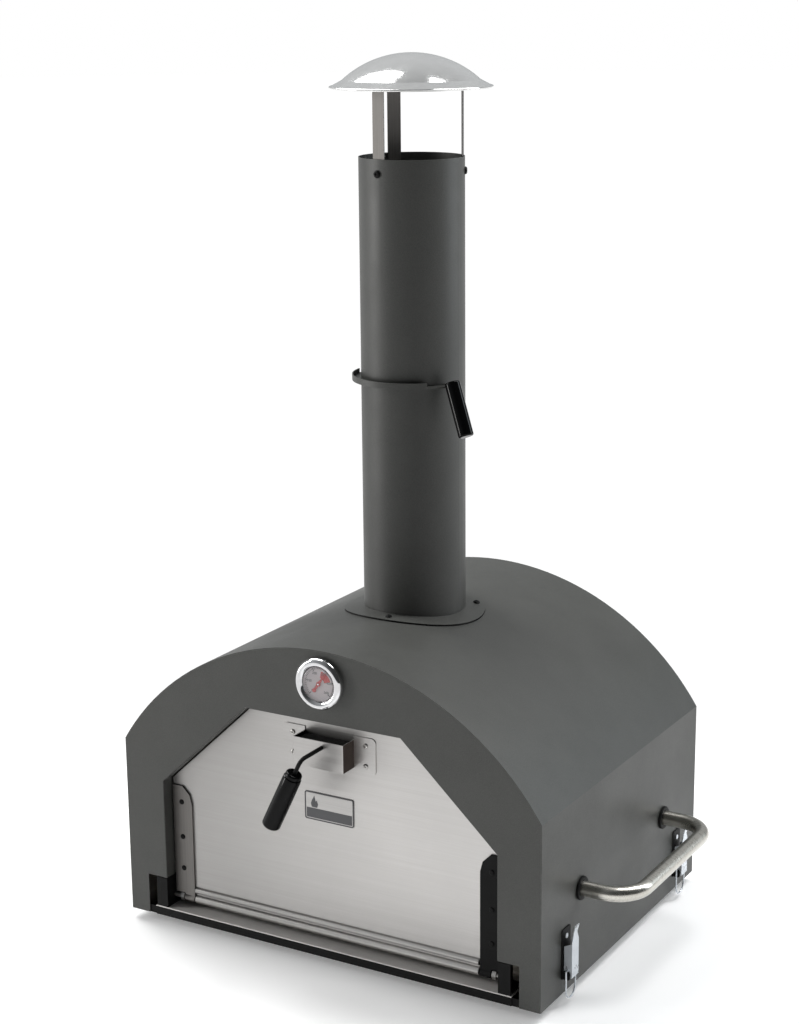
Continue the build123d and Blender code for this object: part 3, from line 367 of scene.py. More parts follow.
def moulded(name, colour, cloud_size, low, high, **sockets):
    """A moulded, printed or glazed finish of one colour whose gloss is a little uneven."""
    material, tree, shader = finish_of(name, colour, roughness=low, **sockets)
    cloud = use_effect(tree, mottle, size=cloud_size, low=low, high=high)
    wire(tree, (cloud.outputs["Cloud"], shader.inputs["Roughness"]))
    return material


dress(moulded("foot_rubber", (0.02, 0.02, 0.02), 0.01, 0.65, 0.85), "feet")

# ---- Hearth ----
# Two cordierite stones lie in a folded stainless tray on calcium silicate board. The same
# pale mineral finish is on the blanket between the liner and the shell.
board = painted_steel(
    "hearth_board", (0.6, 0.56, 0.5), (0.75, 0.72, 0.66), 0.85, 0.95, grain=0.003, wear=0.2
)
dress(board, "hearth_board", "insulation_blanket")
stone = painted_steel(
    "cordierite", (0.55, 0.44, 0.32), (0.7, 0.6, 0.47), 0.8, 0.95, grain=0.002, wear=0.3
)
dress(stone, "pizza_stones")


def brushed_effect():
    """Long fine scratches along one direction; Stretch sets how fine they are on each axis."""
    tree, given, out = open_effect(
        "brushed_grain",
        [("Stretch", "Vector", (6, 900, 900))],
        [("Streak", "Float"), ("Height", "Float")],
    )
    place = node(tree, "TexCoord")
    pulled = node(tree, "VectorMath", operation="MULTIPLY")
    fine = node(tree, "TexNoise", scale=1.0, detail=4.0, roughness=0.7)
    broad_place = node(tree, "VectorMath", operation="SCALE")
    broad_place.inputs["Scale"].default_value = 0.13
    broad = node(tree, "TexNoise", scale=1.0, detail=3.0, roughness=0.6)
    both = node(tree, "Mix")
    both.inputs["Factor"].default_value = 0.4
    spread = node(tree, "MapRange")
    spread.inputs["From Min"].default_value = 0.36
    spread.inputs["From Max"].default_value = 0.64
    wire(
        tree,
        (place.outputs["Object"], pulled.inputs[0]),
        (given.outputs["Stretch"], pulled.inputs[1]),
        (pulled.outputs["Vector"], fine.inputs["Vector"]),
        (pulled.outputs["Vector"], broad_place.inputs[0]),
        (broad_place.outputs["Vector"], broad.inputs["Vector"]),
        (fine.outputs["Fac"], both.inputs["A"]),
        (broad.outputs["Fac"], both.inputs["B"]),
        (both.outputs["Result"], spread.inputs["Value"]),
        (spread.outputs["Result"], out.inputs["Streak"]),
        (fine.outputs["Fac"], out.inputs["Height"]),
    )
    return tree


brushed_grain = brushed_effect()


def bare_metal(name, dark, light, rough_low, rough_high, stretch, bump=0.12, anisotropic=0.0):
    """Uncoated metal with brushing, uneven polish and faint handling marks."""
    material, tree, shader = finish_of(
        name, light, metallic=1.0, roughness=rough_low, Anisotropic=anisotropic
    )
    brush = use_effect(tree, brushed_grain, stretch=stretch)
    smear = use_effect(tree, mottle, size=0.12, low=0.0, high=0.35)
    tone = node(tree, "Mix", data_type="RGBA")
    tone.inputs["A"].default_value = (*dark, 1)
    tone.inputs["B"].default_value = (*light, 1)
    dull = node(tree, "Mix", data_type="RGBA")
    dull.inputs["B"].default_value = (*[c * 0.82 for c in light], 1)
    rough = node(tree, "MapRange")
    rough.inputs["To Min"].default_value = rough_low
    rough.inputs["To Max"].default_value = rough_high
    lines = node(tree, "Bump", strength=bump, distance=0.0001)
    wire(
        tree,
        (brush.outputs["Streak"], tone.inputs["Factor"]),
        (tone.outputs["Result"], dull.inputs["A"]),
        (smear.outputs["Cloud"], dull.inputs["Factor"]),
        (dull.outputs["Result"], shader.inputs["Base Color"]),
        (brush.outputs["Streak"], rough.inputs["Value"]),
        (rough.outputs["Result"], shader.inputs["Roughness"]),
        (brush.outputs["Height"], lines.inputs["Height"]),
        (lines.outputs["Normal"], shader.inputs["Normal"]),
    )
    return material


# How fine the brushing is on each axis: lines run across, along or up the oven.
across = (5, 900, 900)
along = (900, 5, 900)
upright = (900, 900, 5)
liner_stainless = bare_metal(
    "liner_stainless", (0.3, 0.27, 0.23), (0.48, 0.45, 0.4), 0.4, 0.6, along, 0.15
)
dress(liner_stainless, "stone_tray")

# ---- Fire chamber ----
# The arch over the stones and its back are heat-dulled stainless sheet with a collar for
# the flue. The wood burns on a welded iron grate behind a slotted guard.
dress(liner_stainless, "inner_liner", "back_liner", "flue_collar", "ember_guard")
grate_iron = painted_steel(
    "grate_iron", (0.05, 0.045, 0.04), (0.2, 0.18, 0.16), 0.5, 0.75, grain=0.0015
)
dress(grate_iron, "fire_grate")

# ---- Casing ----
# Shell, fascia and back are folded steel sheet in textured charcoal powder coat, rubbed a
# little lighter along the edges. Black pan head screws hold the back panel on.
casing_paint = painted_steel(
    "charcoal_powder_coat", (0.05, 0.051, 0.047), (0.16, 0.16, 0.15), 0.4, 0.52
)
dress(casing_paint, "outer_shell", "front_fascia", "back_panel")


def piece_of(name, bm, material, body, slot, *stands_for):
    """Finish a visible piece: smooth it, give it its material and tie it to its body."""
    mesh = bpy.data.meshes.new(name)
    bmesh.ops.recalc_face_normals(bm, faces=bm.faces)
    bm.to_mesh(mesh)
    bm.free()
    mesh.shade_smooth()
    made = bpy.data.objects.new(name, mesh)
    scene.collection.objects.link(made)
    mesh.set_sharp_from_angle(angle=radians(32))
    mesh.materials.append(material)
    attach(made, body)
    for node_name in stands_for:
        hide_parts(node_name)
    return made


def frame_at(origin, out, up=(0, 0, 1)):
    """Matrix of a place whose local z is out and whose local y is as near up as it can be."""
    z = Vector(out).normalized()
    x = Vector(up).cross(z).normalized()
    return Matrix.Translation(origin) @ Matrix((x, z.cross(x), z)).transposed().to_4x4()


def turned(bm, profile, place, segments=48):
    """Add a turned shape: (radius, height) points spun about local z. Radius 0 ends close it."""
    rings = []
    for radius, height in profile:
        if radius == 0:
            rings.append([bm.verts.new(place @ Vector((0, 0, height)))])
            continue
        turns = [2 * pi * i / segments for i in range(segments)]
        points = [Vector((radius * cos(t), radius * sin(t), height)) for t in turns]
        rings.append([bm.verts.new(place @ point) for point in points])
    for low, high in zip(rings, rings[1:]):
        for i in range(segments):
            j = (i + 1) % segments
            corners = [low[i % len(low)], low[j % len(low)], high[j % len(high)], high[i % len(high)]]
            face = list(dict.fromkeys(corners))
            if len(face) > 2:
                bm.faces.new(face)


def rounded(start, end, centre, radius, steps=5):
    """Points of a round stretch about a centre, from one angle in degrees to another."""
    angles = [radians(start + (end - start) * i / steps) for i in range(steps + 1)]
    return [(centre[0] + radius * cos(a), centre[1] + radius * sin(a)) for a in angles]


def pan_head(bm, place, radius, height, turn=0.3):
    """Domed head whose cross recess is sunk into its middle."""
    sides = 32
    edge_r = height * 0.8
    arm, half = radius * 0.52, radius * 0.13
    crown_r, crown = radius * 0.62, height * 0.985
    profile = [(0, 0), (radius * 0.98, 0)]
    profile += rounded(0, 62, (radius - edge_r, height * 0.15), edge_r, 6)
    profile += [(crown_r, crown)]
    turned(bm, profile, place, sides)
    turns = [2 * pi * i / sides for i in range(sides)]
    rim = [bm.verts.new(place @ Vector((crown_r * cos(t), crown_r * sin(t), crown))) for t in turns]
    cross = [(arm, -half), (arm, half), (half, half), (half, arm), (-half, arm), (-half, half)]
    cross += [(-arm, half), (-arm, -half), (-half, -half), (-half, -arm), (half, -arm), (half, -half)]
    spun = place @ Matrix.Rotation(turn, 4, "Z")
    top = [bm.verts.new(spun @ Vector((x, y, height))) for x, y in cross]
    foot = [bm.verts.new(spun @ Vector((x * 0.8, y * 0.8, height * 0.35))) for x, y in cross]
    corners = len(cross)
    for i in range(corners):
        j = (i + 1) % corners
        bm.faces.new((top[i], top[j], foot[j], foot[i]))
    bm.faces.new(foot)
    edges = [bm.edges.new((rim[i], rim[(i + 1) % sides])) for i in range(sides)]
    edges += [bm.edges.get((top[i], top[(i + 1) % corners])) for i in range(corners)]
    bmesh.ops.triangle_fill(bm, edges=edges, use_beauty=True, use_dissolve=False)
    bmesh.ops.remove_doubles(bm, verts=bm.verts, dist=1e-6)


def islands(name):
    """(lowest corner, highest corner) of each separate solid of a CAD part, left to right."""
    bm = bmesh.new()
    bm.from_mesh(cad[name].data)
    bmesh.ops.remove_doubles(bm, verts=bm.verts, dist=1e-5)
    left, found = set(bm.verts), []
    while left:
        group, edge = set(), [next(iter(left))]
        while edge:
            vert = edge.pop()
            if vert in group:
                continue
            group.add(vert)
            edge += [e.other_vert(vert) for e in vert.link_edges]
        left -= group
        points = [v.co for v in group]
        low = Vector([min(p[i] for p in points) for i in range(3)])
        found.append((low, Vector([max(p[i] for p in points) for i in range(3)])))
    bm.free()
    return sorted(found, key=lambda ends: tuple(round(c, 4) for c in ends[0]))


back_head_r, back_head_height = 0.0046, 0.0025
bm = bmesh.new()
for index, (low, high) in enumerate(islands("back_screws")):
    spot = Vector(((low.x + high.x) / 2, shell_high.y, (low.z + high.z) / 2))
    pan_head(bm, frame_at(spot, (0, 1, 0)), back_head_r, back_head_height, index * 0.7)
piece_of("back_screw_heads", bm, black_enamel, "casing", "black_fastener", "back_screws")

# ---- Sill ----
# A strip of bright stainless under the door's foot, which carries the ash out over the
# pan's front edge. It is duller than the door from heat and sweeping.
sill_steel = bare_metal(
    "sill_stainless", (0.62, 0.6, 0.58), (0.72, 0.7, 0.68), 0.45, 0.6, across, 0.08
)
sill_steel.node_tree.nodes["Principled BSDF"].inputs["Metallic"].default_value = 0.35
dress(sill_steel, "sill_plate")

# ---- Door hinges ----
# A black bracket stands in each lower corner of the opening. The plain steel pins go
# through it and the straps' knuckles, with a nut on the inner side.
plain_steel = bare_metal(
    "plain_steel", (0.4, 0.39, 0.37), (0.58, 0.57, 0.55), 0.28, 0.42, (300, 300, 300), 0.1
)
dress(black_enamel, "hinge_brackets")
dress(plain_steel, "hinge_pins")

# ---- Door ----
# One sheet of brushed stainless with a double rolled hem at its foot. Its colour is darkened towards
# the left and along the hem, painted shade for how the light falls across it.
door_stainless = bare_metal(
    "door_stainless", (0.49, 0.475, 0.462), (0.56, 0.548, 0.535), 0.32, 0.42, across, 0.07, 0.3
)
tree = door_stainless.node_tree
shader = tree.nodes["Principled BSDF"]
tone = shader.inputs["Base Color"].links[0].from_socket
# Painted shade: the colour darkens towards the left and towards the foot.
place = node(tree, "TexCoord")
apart = node(tree, "SeparateXYZ")
from_left = node(tree, "MapRange", interpolation_type="SMOOTHSTEP")
for label, value in (("From Min", -0.3), ("From Max", 0.16), ("To Min", 0.66), ("To Max", 1.0)):
    from_left.inputs[label].default_value = value
from_foot = node(tree, "MapRange", interpolation_type="SMOOTHSTEP")
for label, value in (("From Min", 0.03), ("From Max", 0.3), ("To Min", 0.94), ("To Max", 1.0)):
    from_foot.inputs[label].default_value = value
both = node(tree, "Math", operation="MULTIPLY")
painted_shade_tint = node(tree, "Mix", data_type="RGBA", blend_type="MULTIPLY", factor=1.0)
wire(
    tree,
    (place.outputs["Object"], apart.inputs["Vector"]),
    (apart.outputs["X"], from_left.inputs["Value"]),
    (apart.outputs["Z"], from_foot.inputs["Value"]),
    (from_left.outputs["Result"], both.inputs[0]),
    (from_foot.outputs["Result"], both.inputs[1]),
    (tone, painted_shade_tint.inputs["A"]),
    (both.outputs[0], painted_shade_tint.inputs["B"]),
    (painted_shade_tint.outputs["Result"], shader.inputs["Base Color"]),
)
dress(door_stainless, "door_panel")

# ---- Door straps ----
# A steel strap stiffens each edge of the door and ends in a hinge knuckle. The right one is enamelled
# black; the left one, its twin, is given a lighter dark steel, painted light for the light it catches.
# Black button rivets hold both.
# Painted light: the left strap's lighter finish stands in for the light it catches.
left_strap_lit_steel = bare_metal(
    "left_strap_painted_light", (0.13, 0.125, 0.12), (0.2, 0.19, 0.18), 0.35, 0.5, upright, 0.08
)
dress(left_strap_lit_steel, "door_strap_left")
dress(black_enamel, "door_strap_right")
rivet_shank_r, rivet_shank_depth = 0.002, -0.006
rivet_head_r, rivet_head_height = 0.004, 0.0016
button = [(0, rivet_shank_depth), (rivet_shank_r, rivet_shank_depth), (rivet_shank_r, 0)]
button += [(rivet_head_r, 0)]
button += rounded(0, 90, (rivet_head_r - rivet_head_height, 0), rivet_head_height)
button += [(0, rivet_head_height)]
bm = bmesh.new()
for low, high in islands("strap_rivets"):
    spot = Vector(((low.x + high.x) / 2, low.y + rivet_head_height, (low.z + high.z) / 2))
    turned(bm, button, frame_at(spot, (0, -1, 0)), 24)
piece_of("strap_rivet_heads", bm, black_enamel, "door", "steel_fastener", "strap_rivets")

# ---- Handle bracket ----
# A hat section folded from the door's stainless and screwed to it. Its folded sides are given dark
# steel, painted shade for the dark they reflect, and a black block fills its hollow as painted shade
# for its shadowed open top.
# Painted shade: a dark steel for the bracket's folded sides.
bracket_side_shade_steel = bare_metal(
    "bracket_side_painted_shade", (0.04, 0.028, 0.023), (0.08, 0.06, 0.052), 0.4, 0.55, (200, 200, 200), 0.08
)
dress(door_stainless, "handle_bracket")
bracket = cad["handle_bracket"].data
bracket.materials.append(bracket_side_shade_steel)
bracket_low, bracket_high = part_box("handle_bracket")
flange_depth = 0.003
for face in bracket.polygons:
    stands_out = face.center.y < bracket_high.y - flange_depth
    if stands_out and abs(face.normal.x) > 0.6:
        face.material_index = 1

# Painted shade: a black block put inside the bracket where its open top shows only shade.
shade_block_low = Vector((-0.0385, bracket_low.y + 0.0025, bracket_low.z + 0.009))
shade_block_high = Vector((0.0385, bracket_high.y - 0.0015, bracket_low.z + 0.045))
shade_block_size = shade_block_high - shade_block_low
bm = bmesh.new()
bmesh.ops.create_cube(bm, size=1)
middle = Matrix.Translation((shade_block_low + shade_block_high) / 2)
bm.transform(middle @ Matrix.Diagonal((*shade_block_size, 1)))
bmesh.ops.bevel(bm, geom=bm.edges, offset=0.002, segments=3, affect="EDGES")
piece_of("bracket_shade_block", bm, black_enamel, "door", "black_rod")

bracket_head_r, bracket_head_height = 0.0038, 0.002
nut_r, nut_top = 0.0038, 0.0051
nut = [(0, 0.0035), (nut_r, 0.0035), (nut_r, nut_top - 0.0002), (nut_r - 0.0003, nut_top), (0, nut_top)]
bm = bmesh.new()
for index, (low, high) in enumerate(islands("bracket_screws")):
    spot = Vector(((low.x + high.x) / 2, bracket_high.y - 0.0015, (low.z + high.z) / 2))
    pan_head(bm, frame_at(spot, (0, -1, 0)), bracket_head_r, bracket_head_height, index)
    turned(bm, nut, frame_at(spot, (0, 1, 0)), 6)
piece_of("bracket_screw_heads", bm, plain_steel, "door", "steel_fastener", "bracket_screws")

# ---- Latch ----
# A bent black rod turns in the bracket and carries a stainless cam behind the door. Its
# grip is moulded in gloss black heat-proof plastic, with a collar and a mould line.
dress(black_enamel, "latch_rod")
dress(liner_stainless, "latch_cam")
gloss_black = moulded(
    "gloss_black", (0.002, 0.002, 0.0022), 0.03, 0.05, 0.12, Specular_IOR_Level=0.12
)


def moulded_grip(name, body, rod_hole, length, radius, start, direction):
    """Moulded handle with a collar, a slight swell, rounded ends and a mould line."""
    profile = [(0, 0.012), (rod_hole, 0.012), (rod_hole, 0.0006), (rod_hole + 0.0006, 0)]
    profile += [(radius * 0.66, 0)]
    profile += rounded(-90, 0, (radius * 0.66, 0.003), radius * 0.22, 5)
    profile += [(radius * 0.88, 0.0052), (radius * 0.84, 0.0058), (radius * 0.84, 0.0066)]
    profile += [(radius * 0.95, 0.0078), (radius * 0.985, 0.011)]
    profile += [(radius, length * 0.5), (radius, length - 0.004)]
    profile += rounded(0, 90, (radius - 0.0035, length - 0.0035), 0.0035, 7)
    profile += [(radius * 0.3, length), (0, length - 0.0004)]
    bm = bmesh.new()
    place = frame_at(start, direction, (0, 1, 0))
    turned(bm, profile, place, 72)
    for vert in bm.verts:
        local = place.inverted() @ vert.co
        if abs(local.y) < 0.0004 and 0.012 < local.z < length - 0.003:
            vert.co += (place.to_3x3() @ Vector((local.x, 0, 0))).normalized() * -0.00022
    piece_of(name + "_moulding", bm, gloss_black, body, "black_grip", name)


grip_slant = radians(26)
grip_radius, grip_length = 0.0135, 0.095
rod_radius = 0.0032
grip_low, grip_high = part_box("latch_grip")
down = Vector((-sin(grip_slant), 0, -cos(grip_slant)))
grip_start = Vector((
    grip_high.x - grip_radius * cos(grip_slant),
    (grip_low.y + grip_high.y) / 2,
    grip_high.z - grip_radius * sin(grip_slant),
))
moulded_grip("latch_grip", "latch", rod_radius, grip_length, grip_radius, grip_start, down)

# ---- Nameplate ----
# A pressed aluminium badge with a raised rim, bonded to the door. It is left plain but for
# a dark enamelled band along its foot and a small flame.
badge_low, badge_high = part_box("nameplate")
badge_middle = (badge_low + badge_high) / 2
badge_half = (badge_high - badge_low) / 2
badge_face = badge_low.y
badge_plate = bare_metal(
    "badge_plate", (0.4, 0.39, 0.38), (0.5, 0.49, 0.48), 0.34, 0.45, across, 0.1
)
dark_print = moulded("dark_print", (0.07, 0.07, 0.075), 0.01, 0.32, 0.5)


def raised(bm, outline, depth_back, depth_front, soft=0.0):
    """Add a flat shape standing on the door side: (x, z) outline between two depths."""
    back = [bm.verts.new((x, depth_back, z)) for x, z in outline]
    face = bm.faces.new(back)
    made = bmesh.ops.extrude_face_region(bm, geom=[face])
    front = [v for v in made["geom"] if isinstance(v, bmesh.types.BMVert)]
    bmesh.ops.translate(bm, verts=front, vec=(0, depth_front - depth_back, 0))
    if soft:
        rim = [e for e in made["geom"] if isinstance(e, bmesh.types.BMEdge)]
        bmesh.ops.bevel(bm, geom=rim, offset=soft, segments=2, affect="EDGES")


def soft_corners(half_x, half_z, radius, steps=5):
    """Outline of a rectangle with rounded corners, about the origin."""
    points = []
    for corner, (sx, sz) in enumerate(((1, 1), (-1, 1), (-1, -1), (1, -1))):
        centre = (sx * (half_x - radius), sz * (half_z - radius))
        points += rounded(90 * corner, 90 * corner + 90, centre, radius, steps)
    return points


def on_badge(points):
    """Move an outline from the origin to the badge."""
    return [(badge_middle.x + x, badge_middle.z + z) for x, z in points]


corner_r, rim_wide, rim_deep = 0.003, 0.0016, 0.0012
outer = on_badge(soft_corners(badge_half.x, badge_half.z, corner_r))
inner = on_badge(soft_corners(badge_half.x - rim_wide, badge_half.z - rim_wide, 0.0018))
bm = bmesh.new()
raised(bm, outer, badge_high.y, badge_face + 0.0005, 0.0002)
piece_of("badge_field", bm, badge_plate, "door", "badge")

band_half, band_foot, band_top = 0.0375, -0.018, -badge_half.z * 0.16
band = [(band_half, band_foot), (band_half, band_top), (-band_half, band_top), (-band_half, band_foot)]
flame = [(-0.029, -0.002), (-0.020, -0.002), (-0.0185, 0.003), (-0.0205, 0.009), (-0.0225, 0.0065)]
flame += [(-0.0245, 0.0155), (-0.0285, 0.0085), (-0.0305, 0.0035)]
bm = bmesh.new()
for outline in (band, flame):
    raised(bm, on_badge(outline), badge_face + 0.0006, badge_face + 0.0002, 0.0001)
piece_of("badge_print", bm, dark_print, "door", "badge")

lanes = [(outer, badge_face + rim_deep), (outer, badge_face)]
lanes += [(inner, badge_face), (inner, badge_face + rim_deep)]
bm = bmesh.new()
rings = [[bm.verts.new((x, depth, z)) for x, z in ring] for ring, depth in lanes]
for lane, ring in enumerate(rings):
    beside = rings[(lane + 1) % 4]
    for i in range(len(ring)):
        j = (i + 1) % len(ring)
        bm.faces.new((ring[i], ring[j], beside[j], beside[i]))
piece_of("badge_rim", bm, dark_print, "door", "badge", "nameplate")

# ---- Thermometer case ----
# A bimetal thermometer in a rolled chrome case. Its stem goes through the fascia and a
# nut holds it from behind.
gauge_low, gauge_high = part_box("thermometer_bezel")
gauge_middle = (gauge_low + gauge_high) / 2
gauge_r = (gauge_high.x - gauge_low.x) / 2
window_r = 0.0245
stem_hole_r = 0.0045
gauge_place = frame_at((gauge_middle.x, gauge_high.y, gauge_middle.z), (0, -1, 0))
bright_chrome = bare_metal(
    "gauge_chrome", (0.62, 0.62, 0.63), (0.74, 0.74, 0.75), 0.05, 0.12, (80, 80, 80), 0.02
)
dress(bright_chrome, "thermometer_stem", "thermometer_nut")

wall, lip_height, dome_height = 0.0015, 0.005, 0.007
rim_middle_r = (gauge_r + window_r) / 2
rim_half = gauge_r - rim_middle_r
case = [(stem_hole_r, 0), (gauge_r - 0.0008, 0), (gauge_r, 0.0008), (gauge_r, lip_height)]
for step in range(1, 20):
    angle = pi * step / 20
    case.append((rim_middle_r + rim_half * cos(angle), lip_height + dome_height * sin(angle)))
case += [(window_r, lip_height), (window_r, 0.0046), (gauge_r - 2 * wall, 0.0046)]
case += [(gauge_r - 2 * wall, wall), (stem_hole_r, wall), (stem_hole_r, 0)]
bm = bmesh.new()
turned(bm, case, gauge_place, 96)
bmesh.ops.remove_doubles(bm, verts=bm.verts, dist=1e-7)
piece_of("gauge_case", bm, bright_chrome, "casing", "gauge_chrome", "thermometer_bezel")

# ---- Thermometer dial ----
# A printed aluminium disc with a scale of 41 marks and plain numbers, and a red band for
# baking heat under the red needle.
dial_print = moulded("dial_print", (0.72, 0.66, 0.68), 0.012, 0.38, 0.55)
needle_red = moulded("needle_red", (0.6, 0.02, 0.02), 0.008, 0.26, 0.4, Coat_Weight=0.3)
dress(needle_red, "thermometer_needle")
dial_r, dial_back, dial_face, spindle_r = window_r + 0.004, 0.0032, 0.004, 0.0016
disc = [(spindle_r, dial_back), (dial_r, dial_back), (dial_r, dial_face)]
disc += [(spindle_r, dial_face), (spindle_r, dial_back)]
bm = bmesh.new()
turned(bm, disc, gauge_place, 64)
bmesh.ops.remove_doubles(bm, verts=bm.verts, dist=1e-7)
piece_of("gauge_dial", bm, dial_print, "casing", "gauge_face", "thermometer_dial")


def thicken(bm, faces, depth=0.00004):
    """Give a printed mark its film thickness, down into the dial."""
    made = bmesh.ops.extrude_face_region(bm, geom=faces, use_keep_orig=True)
    under = [v for v in made["geom"] if isinstance(v, bmesh.types.BMVert)]
    bmesh.ops.translate(bm, verts=under, vec=(0, depth, 0))


def dial_bar(bm, angle, inner_r, outer_r, half_wide, height=0.00408):
    """Printed mark across the dial, clockwise angle in degrees from straight up."""
    turn = gauge_place @ Matrix.Rotation(radians(-angle), 4, "Z")
    corners = ((-half_wide, inner_r), (half_wide, inner_r), (half_wide, outer_r), (-half_wide, outer_r))
    thicken(bm, [bm.faces.new([bm.verts.new(turn @ Vector((x, y, height))) for x, y in corners])])


def dial_arc(bm, start, end, inner_r, outer_r, height=0.00405, steps=14):
    """Printed band between two clockwise angles."""
    arc, pairs = [], []
    for i in range(steps + 1):
        angle = radians(start + (end - start) * i / steps)
        points = [Vector((r * sin(angle), r * cos(angle), height)) for r in (inner_r, outer_r)]
        pairs.append([bm.verts.new(gauge_place @ point) for point in points])
    for (a, b), (c, d) in zip(pairs, pairs[1:]):
        arc.append(bm.faces.new((a, b, d, c)))
    thicken(bm, arc)


scale_start, marks, marks_to_number, mark_step = -135, 41, 8, 6.75
bm = bmesh.new()
for index in range(marks):
    major = index % marks_to_number == 0
    inner_r, half_wide = (0.0188, 0.0005) if major else (0.0204, 0.00028)
    dial_bar(bm, scale_start + index * mark_step, inner_r, 0.0228, half_wide)
piece_of("gauge_marks", bm, dark_print, "casing", "gauge_face")

bm = bmesh.new()
dial_arc(bm, 10, 75, 0.0085, 0.0178)
piece_of("gauge_hot_zone", bm, needle_red, "casing", "gauge_needle")

number_r, number_height, print_face = 0.0158, 0.0052, 0.00412
for index in range(6):
    text = bpy.data.curves.new("dial_number", "FONT")
    text.body = str(index * 100)
    text.size = number_height
    text.align_x = "CENTER"
    text.align_y = "CENTER"
    text.extrude = 0.00004
    text.resolution_u = 3
    letter = bpy.data.objects.new("dial_number", text)
    scene.collection.objects.link(letter)
    angle = radians(scale_start + index * marks_to_number * mark_step)
    spot = (number_r * sin(angle), number_r * cos(angle), print_face)
    letter.matrix_world = gauge_place @ Matrix.Translation(spot)
    bpy.context.view_layer.update()
    mesh = bpy.data.meshes.new_from_object(letter)
    mesh.transform(letter.matrix_world)
    bm = bmesh.new()
    bm.from_mesh(mesh)
    bmesh.ops.remove_doubles(bm, verts=bm.verts, dist=1e-6)
    bm.to_mesh(mesh)
    bm.free()
    bpy.data.objects.remove(letter)
    number = bpy.data.objects.new("dial_number_%d" % (index * 100), mesh)
    scene.collection.objects.link(number)
    mesh.materials.clear()
    mesh.materials.append(dark_print)
    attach(number, "casing")

# ---- Thermometer glass ----
# A slightly domed glass, held in the case by the rolled rim.
# Its edge is flat, and it stands clear of the needle.
clear_glass = moulded(
    "clear_glass", (1, 1, 1), 0.02, 0.0, 0.04, Transmission_Weight=1.0, IOR=1.45
)
glass_r, glass_back, glass_edge, glass_crown = window_r - 0.0002, 0.0076, 0.0086, 0.0012
pane = [(0, glass_back), (glass_r, glass_back), (glass_r, glass_edge)]
for step in range(1, 10):
    reach = 1 - step / 10
    pane.append((window_r * reach, 0.0092 + glass_crown * (1 - reach**2)))
pane.append((0, 0.0098))
bm = bmesh.new()
turned(bm, pane, gauge_place, 64)
piece_of("gauge_window", bm, clear_glass, "casing", "gauge_glass", "thermometer_glass")

# ---- Chimney flange ----
# A pressed collar bent to the roof's curve and held by black pan head screws. Its edge and underside
# faces are black, painted shade for the shadow line along its edge.
dress(casing_paint, "chimney_flange")
flange = cad["chimney_flange"].data
flange.materials.append(black_enamel)
# Painted shade: every face that doesn't face up is black.
for face in flange.polygons:
    if face.normal.z < 0.6:
        face.material_index = 1

roof_rise = 0.188
casing_half_width = (shell_high.x - shell_low.x) / 2
roof_radius = (casing_half_width**2 + roof_rise**2) / (2 * roof_rise)
roof_centre_z = shell_high.z - roof_radius
flange_thick = 0.00255
flange_head_r, flange_head_height = 0.0048, 0.0028
bm = bmesh.new()
for index, (low, high) in enumerate(islands("flange_screws")):
    middle = (low + high) / 2
    out = Vector((middle.x, 0, middle.z - roof_centre_z)).normalized()
    spot = Vector((0, middle.y, roof_centre_z)) + out * (roof_radius + flange_thick)
    pan_head(bm, frame_at(spot, out, (0, 1, 0)), flange_head_r, flange_head_height, index)
piece_of("flange_screw_heads", bm, black_enamel, "casing", "black_fastener", "flange_screws")

# ---- Chimney pipe and damper ----
# Flue pipe in powder coat, saddle cut at its foot; its paint is a darker copy of the casing's, painted
# shade for how dark the pipe looks. A flat damper plate swings out of a slot in it on a black pin,
# which a small bracket holds.
# Painted shade: the casing paint made darker for the pipe, its damper plate and bracket.
flue_shaded_paint = painted_steel(
    "flue_painted_shade_coat", (0.035, 0.036, 0.033), (0.13, 0.13, 0.12), 0.42, 0.54
)
dress(flue_shaded_paint, "chimney_pipe", "damper_plate", "damper_bracket")
dress(black_enamel, "damper_pin")

# ---- Damper handle ----
# A bent black rod on the damper plate, with a plain gloss black grip on its end.
# The two turn with the plate.
dress(black_enamel, "damper_rod")
dress(gloss_black, "damper_grip")

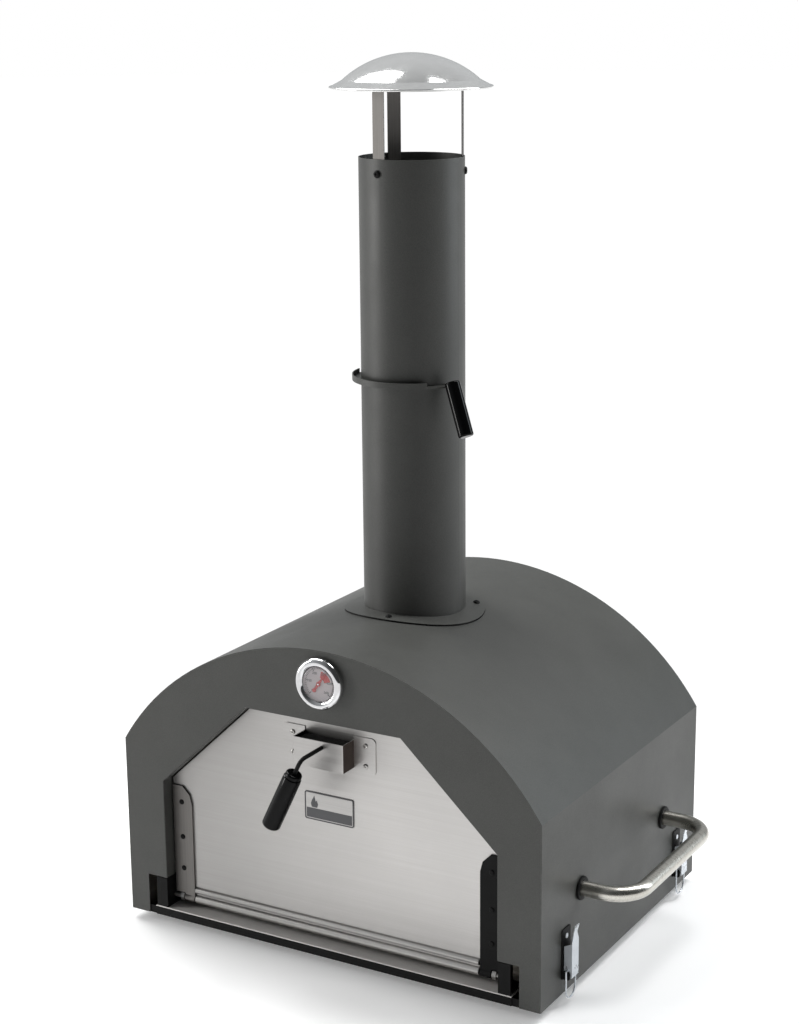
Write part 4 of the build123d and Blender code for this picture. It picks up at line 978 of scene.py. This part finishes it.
# ---- Rain cap ----
# A spun dome of polished stainless on three dull brushed strips, which go down inside the
# pipe and are held by black pan head screws with a nut inside.
strip_stainless = bare_metal(
    "strip_stainless", (0.1, 0.095, 0.09), (0.17, 0.162, 0.155), 0.42, 0.55, upright, 0.1
)
dress(strip_stainless, "cap_legs")
cap_polish = bare_metal(
    "polished_cap", (0.8, 0.8, 0.79), (0.88, 0.88, 0.87), 0.08, 0.15, (60, 60, 60), 0.02
)
cap_polish.node_tree.nodes["Principled BSDF"].inputs["Metallic"].default_value = 0.8
dress(cap_polish, "cap_dome")

pipe_low, pipe_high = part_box("chimney_pipe")
pipe_middle = (pipe_low + pipe_high) / 2
pipe_radius = (pipe_high.x - pipe_low.x) / 2
cap_head_r, cap_head_height = 0.0055, 0.0031
nut_depth = 0.0075
nut = [(0, -0.0035), (0.0043, -0.0035), (0.0046, -0.003), (0.0046, 0.0005), (0, 0.0005)]
bm = bmesh.new()
for index, (low, high) in enumerate(islands("cap_screws")):
    middle = (low + high) / 2
    out = Vector((middle.x - pipe_middle.x, middle.y - pipe_middle.y, 0)).normalized()
    spot = Vector((pipe_middle.x, pipe_middle.y, middle.z)) + out * (pipe_radius + 0.0001)
    pan_head(bm, frame_at(spot, out), cap_head_r, cap_head_height, 0.4 + index)
    turned(bm, nut, frame_at(spot - out * nut_depth, out), 6)
piece_of("cap_screw_heads", bm, black_enamel, "casing", "black_fastener", "cap_screws")

# ---- Side handles ----
# Bent stainless tube, polished round its girth. Bolts from inside go into threaded
# inserts in its ends, with a black washer against the casing.
tube_stainless = bare_metal(
    "tube_stainless", (0.57, 0.55, 0.5), (0.61, 0.59, 0.54), 0.26, 0.3, (12, 900, 12), 0.012
)
dress(tube_stainless, "side_handle_left", "side_handle_right", "handle_inserts")
dress(plain_steel, "handle_bolts")
dress(black_enamel, "handle_washers")

# ---- Toggle latches ----
# Two on each side wall: a base with ears and a zinc plated lever that carries a wire bail on rivets.
# The bases are enamelled black, partly their own paint and partly painted shade for the shadow beside
# each lever.
bright_zinc = bare_metal(
    "bright_zinc", (0.55, 0.58, 0.62), (0.74, 0.78, 0.82), 0.24, 0.34, (60, 60, 60), 0.01
)
bright_zinc.node_tree.nodes["Principled BSDF"].inputs["Metallic"].default_value = 0.6
# Partly painted shade: black bases for the shadow beside each lever.
dress(black_enamel, "latch_bases")
dress(bright_zinc, "latch_rivets")
for part in ("lever", "bail"):
    for side in ("left", "right"):
        for end in ("front", "back"):
            dress(bright_zinc, "latch_%s_%s_%s" % (part, side, end))
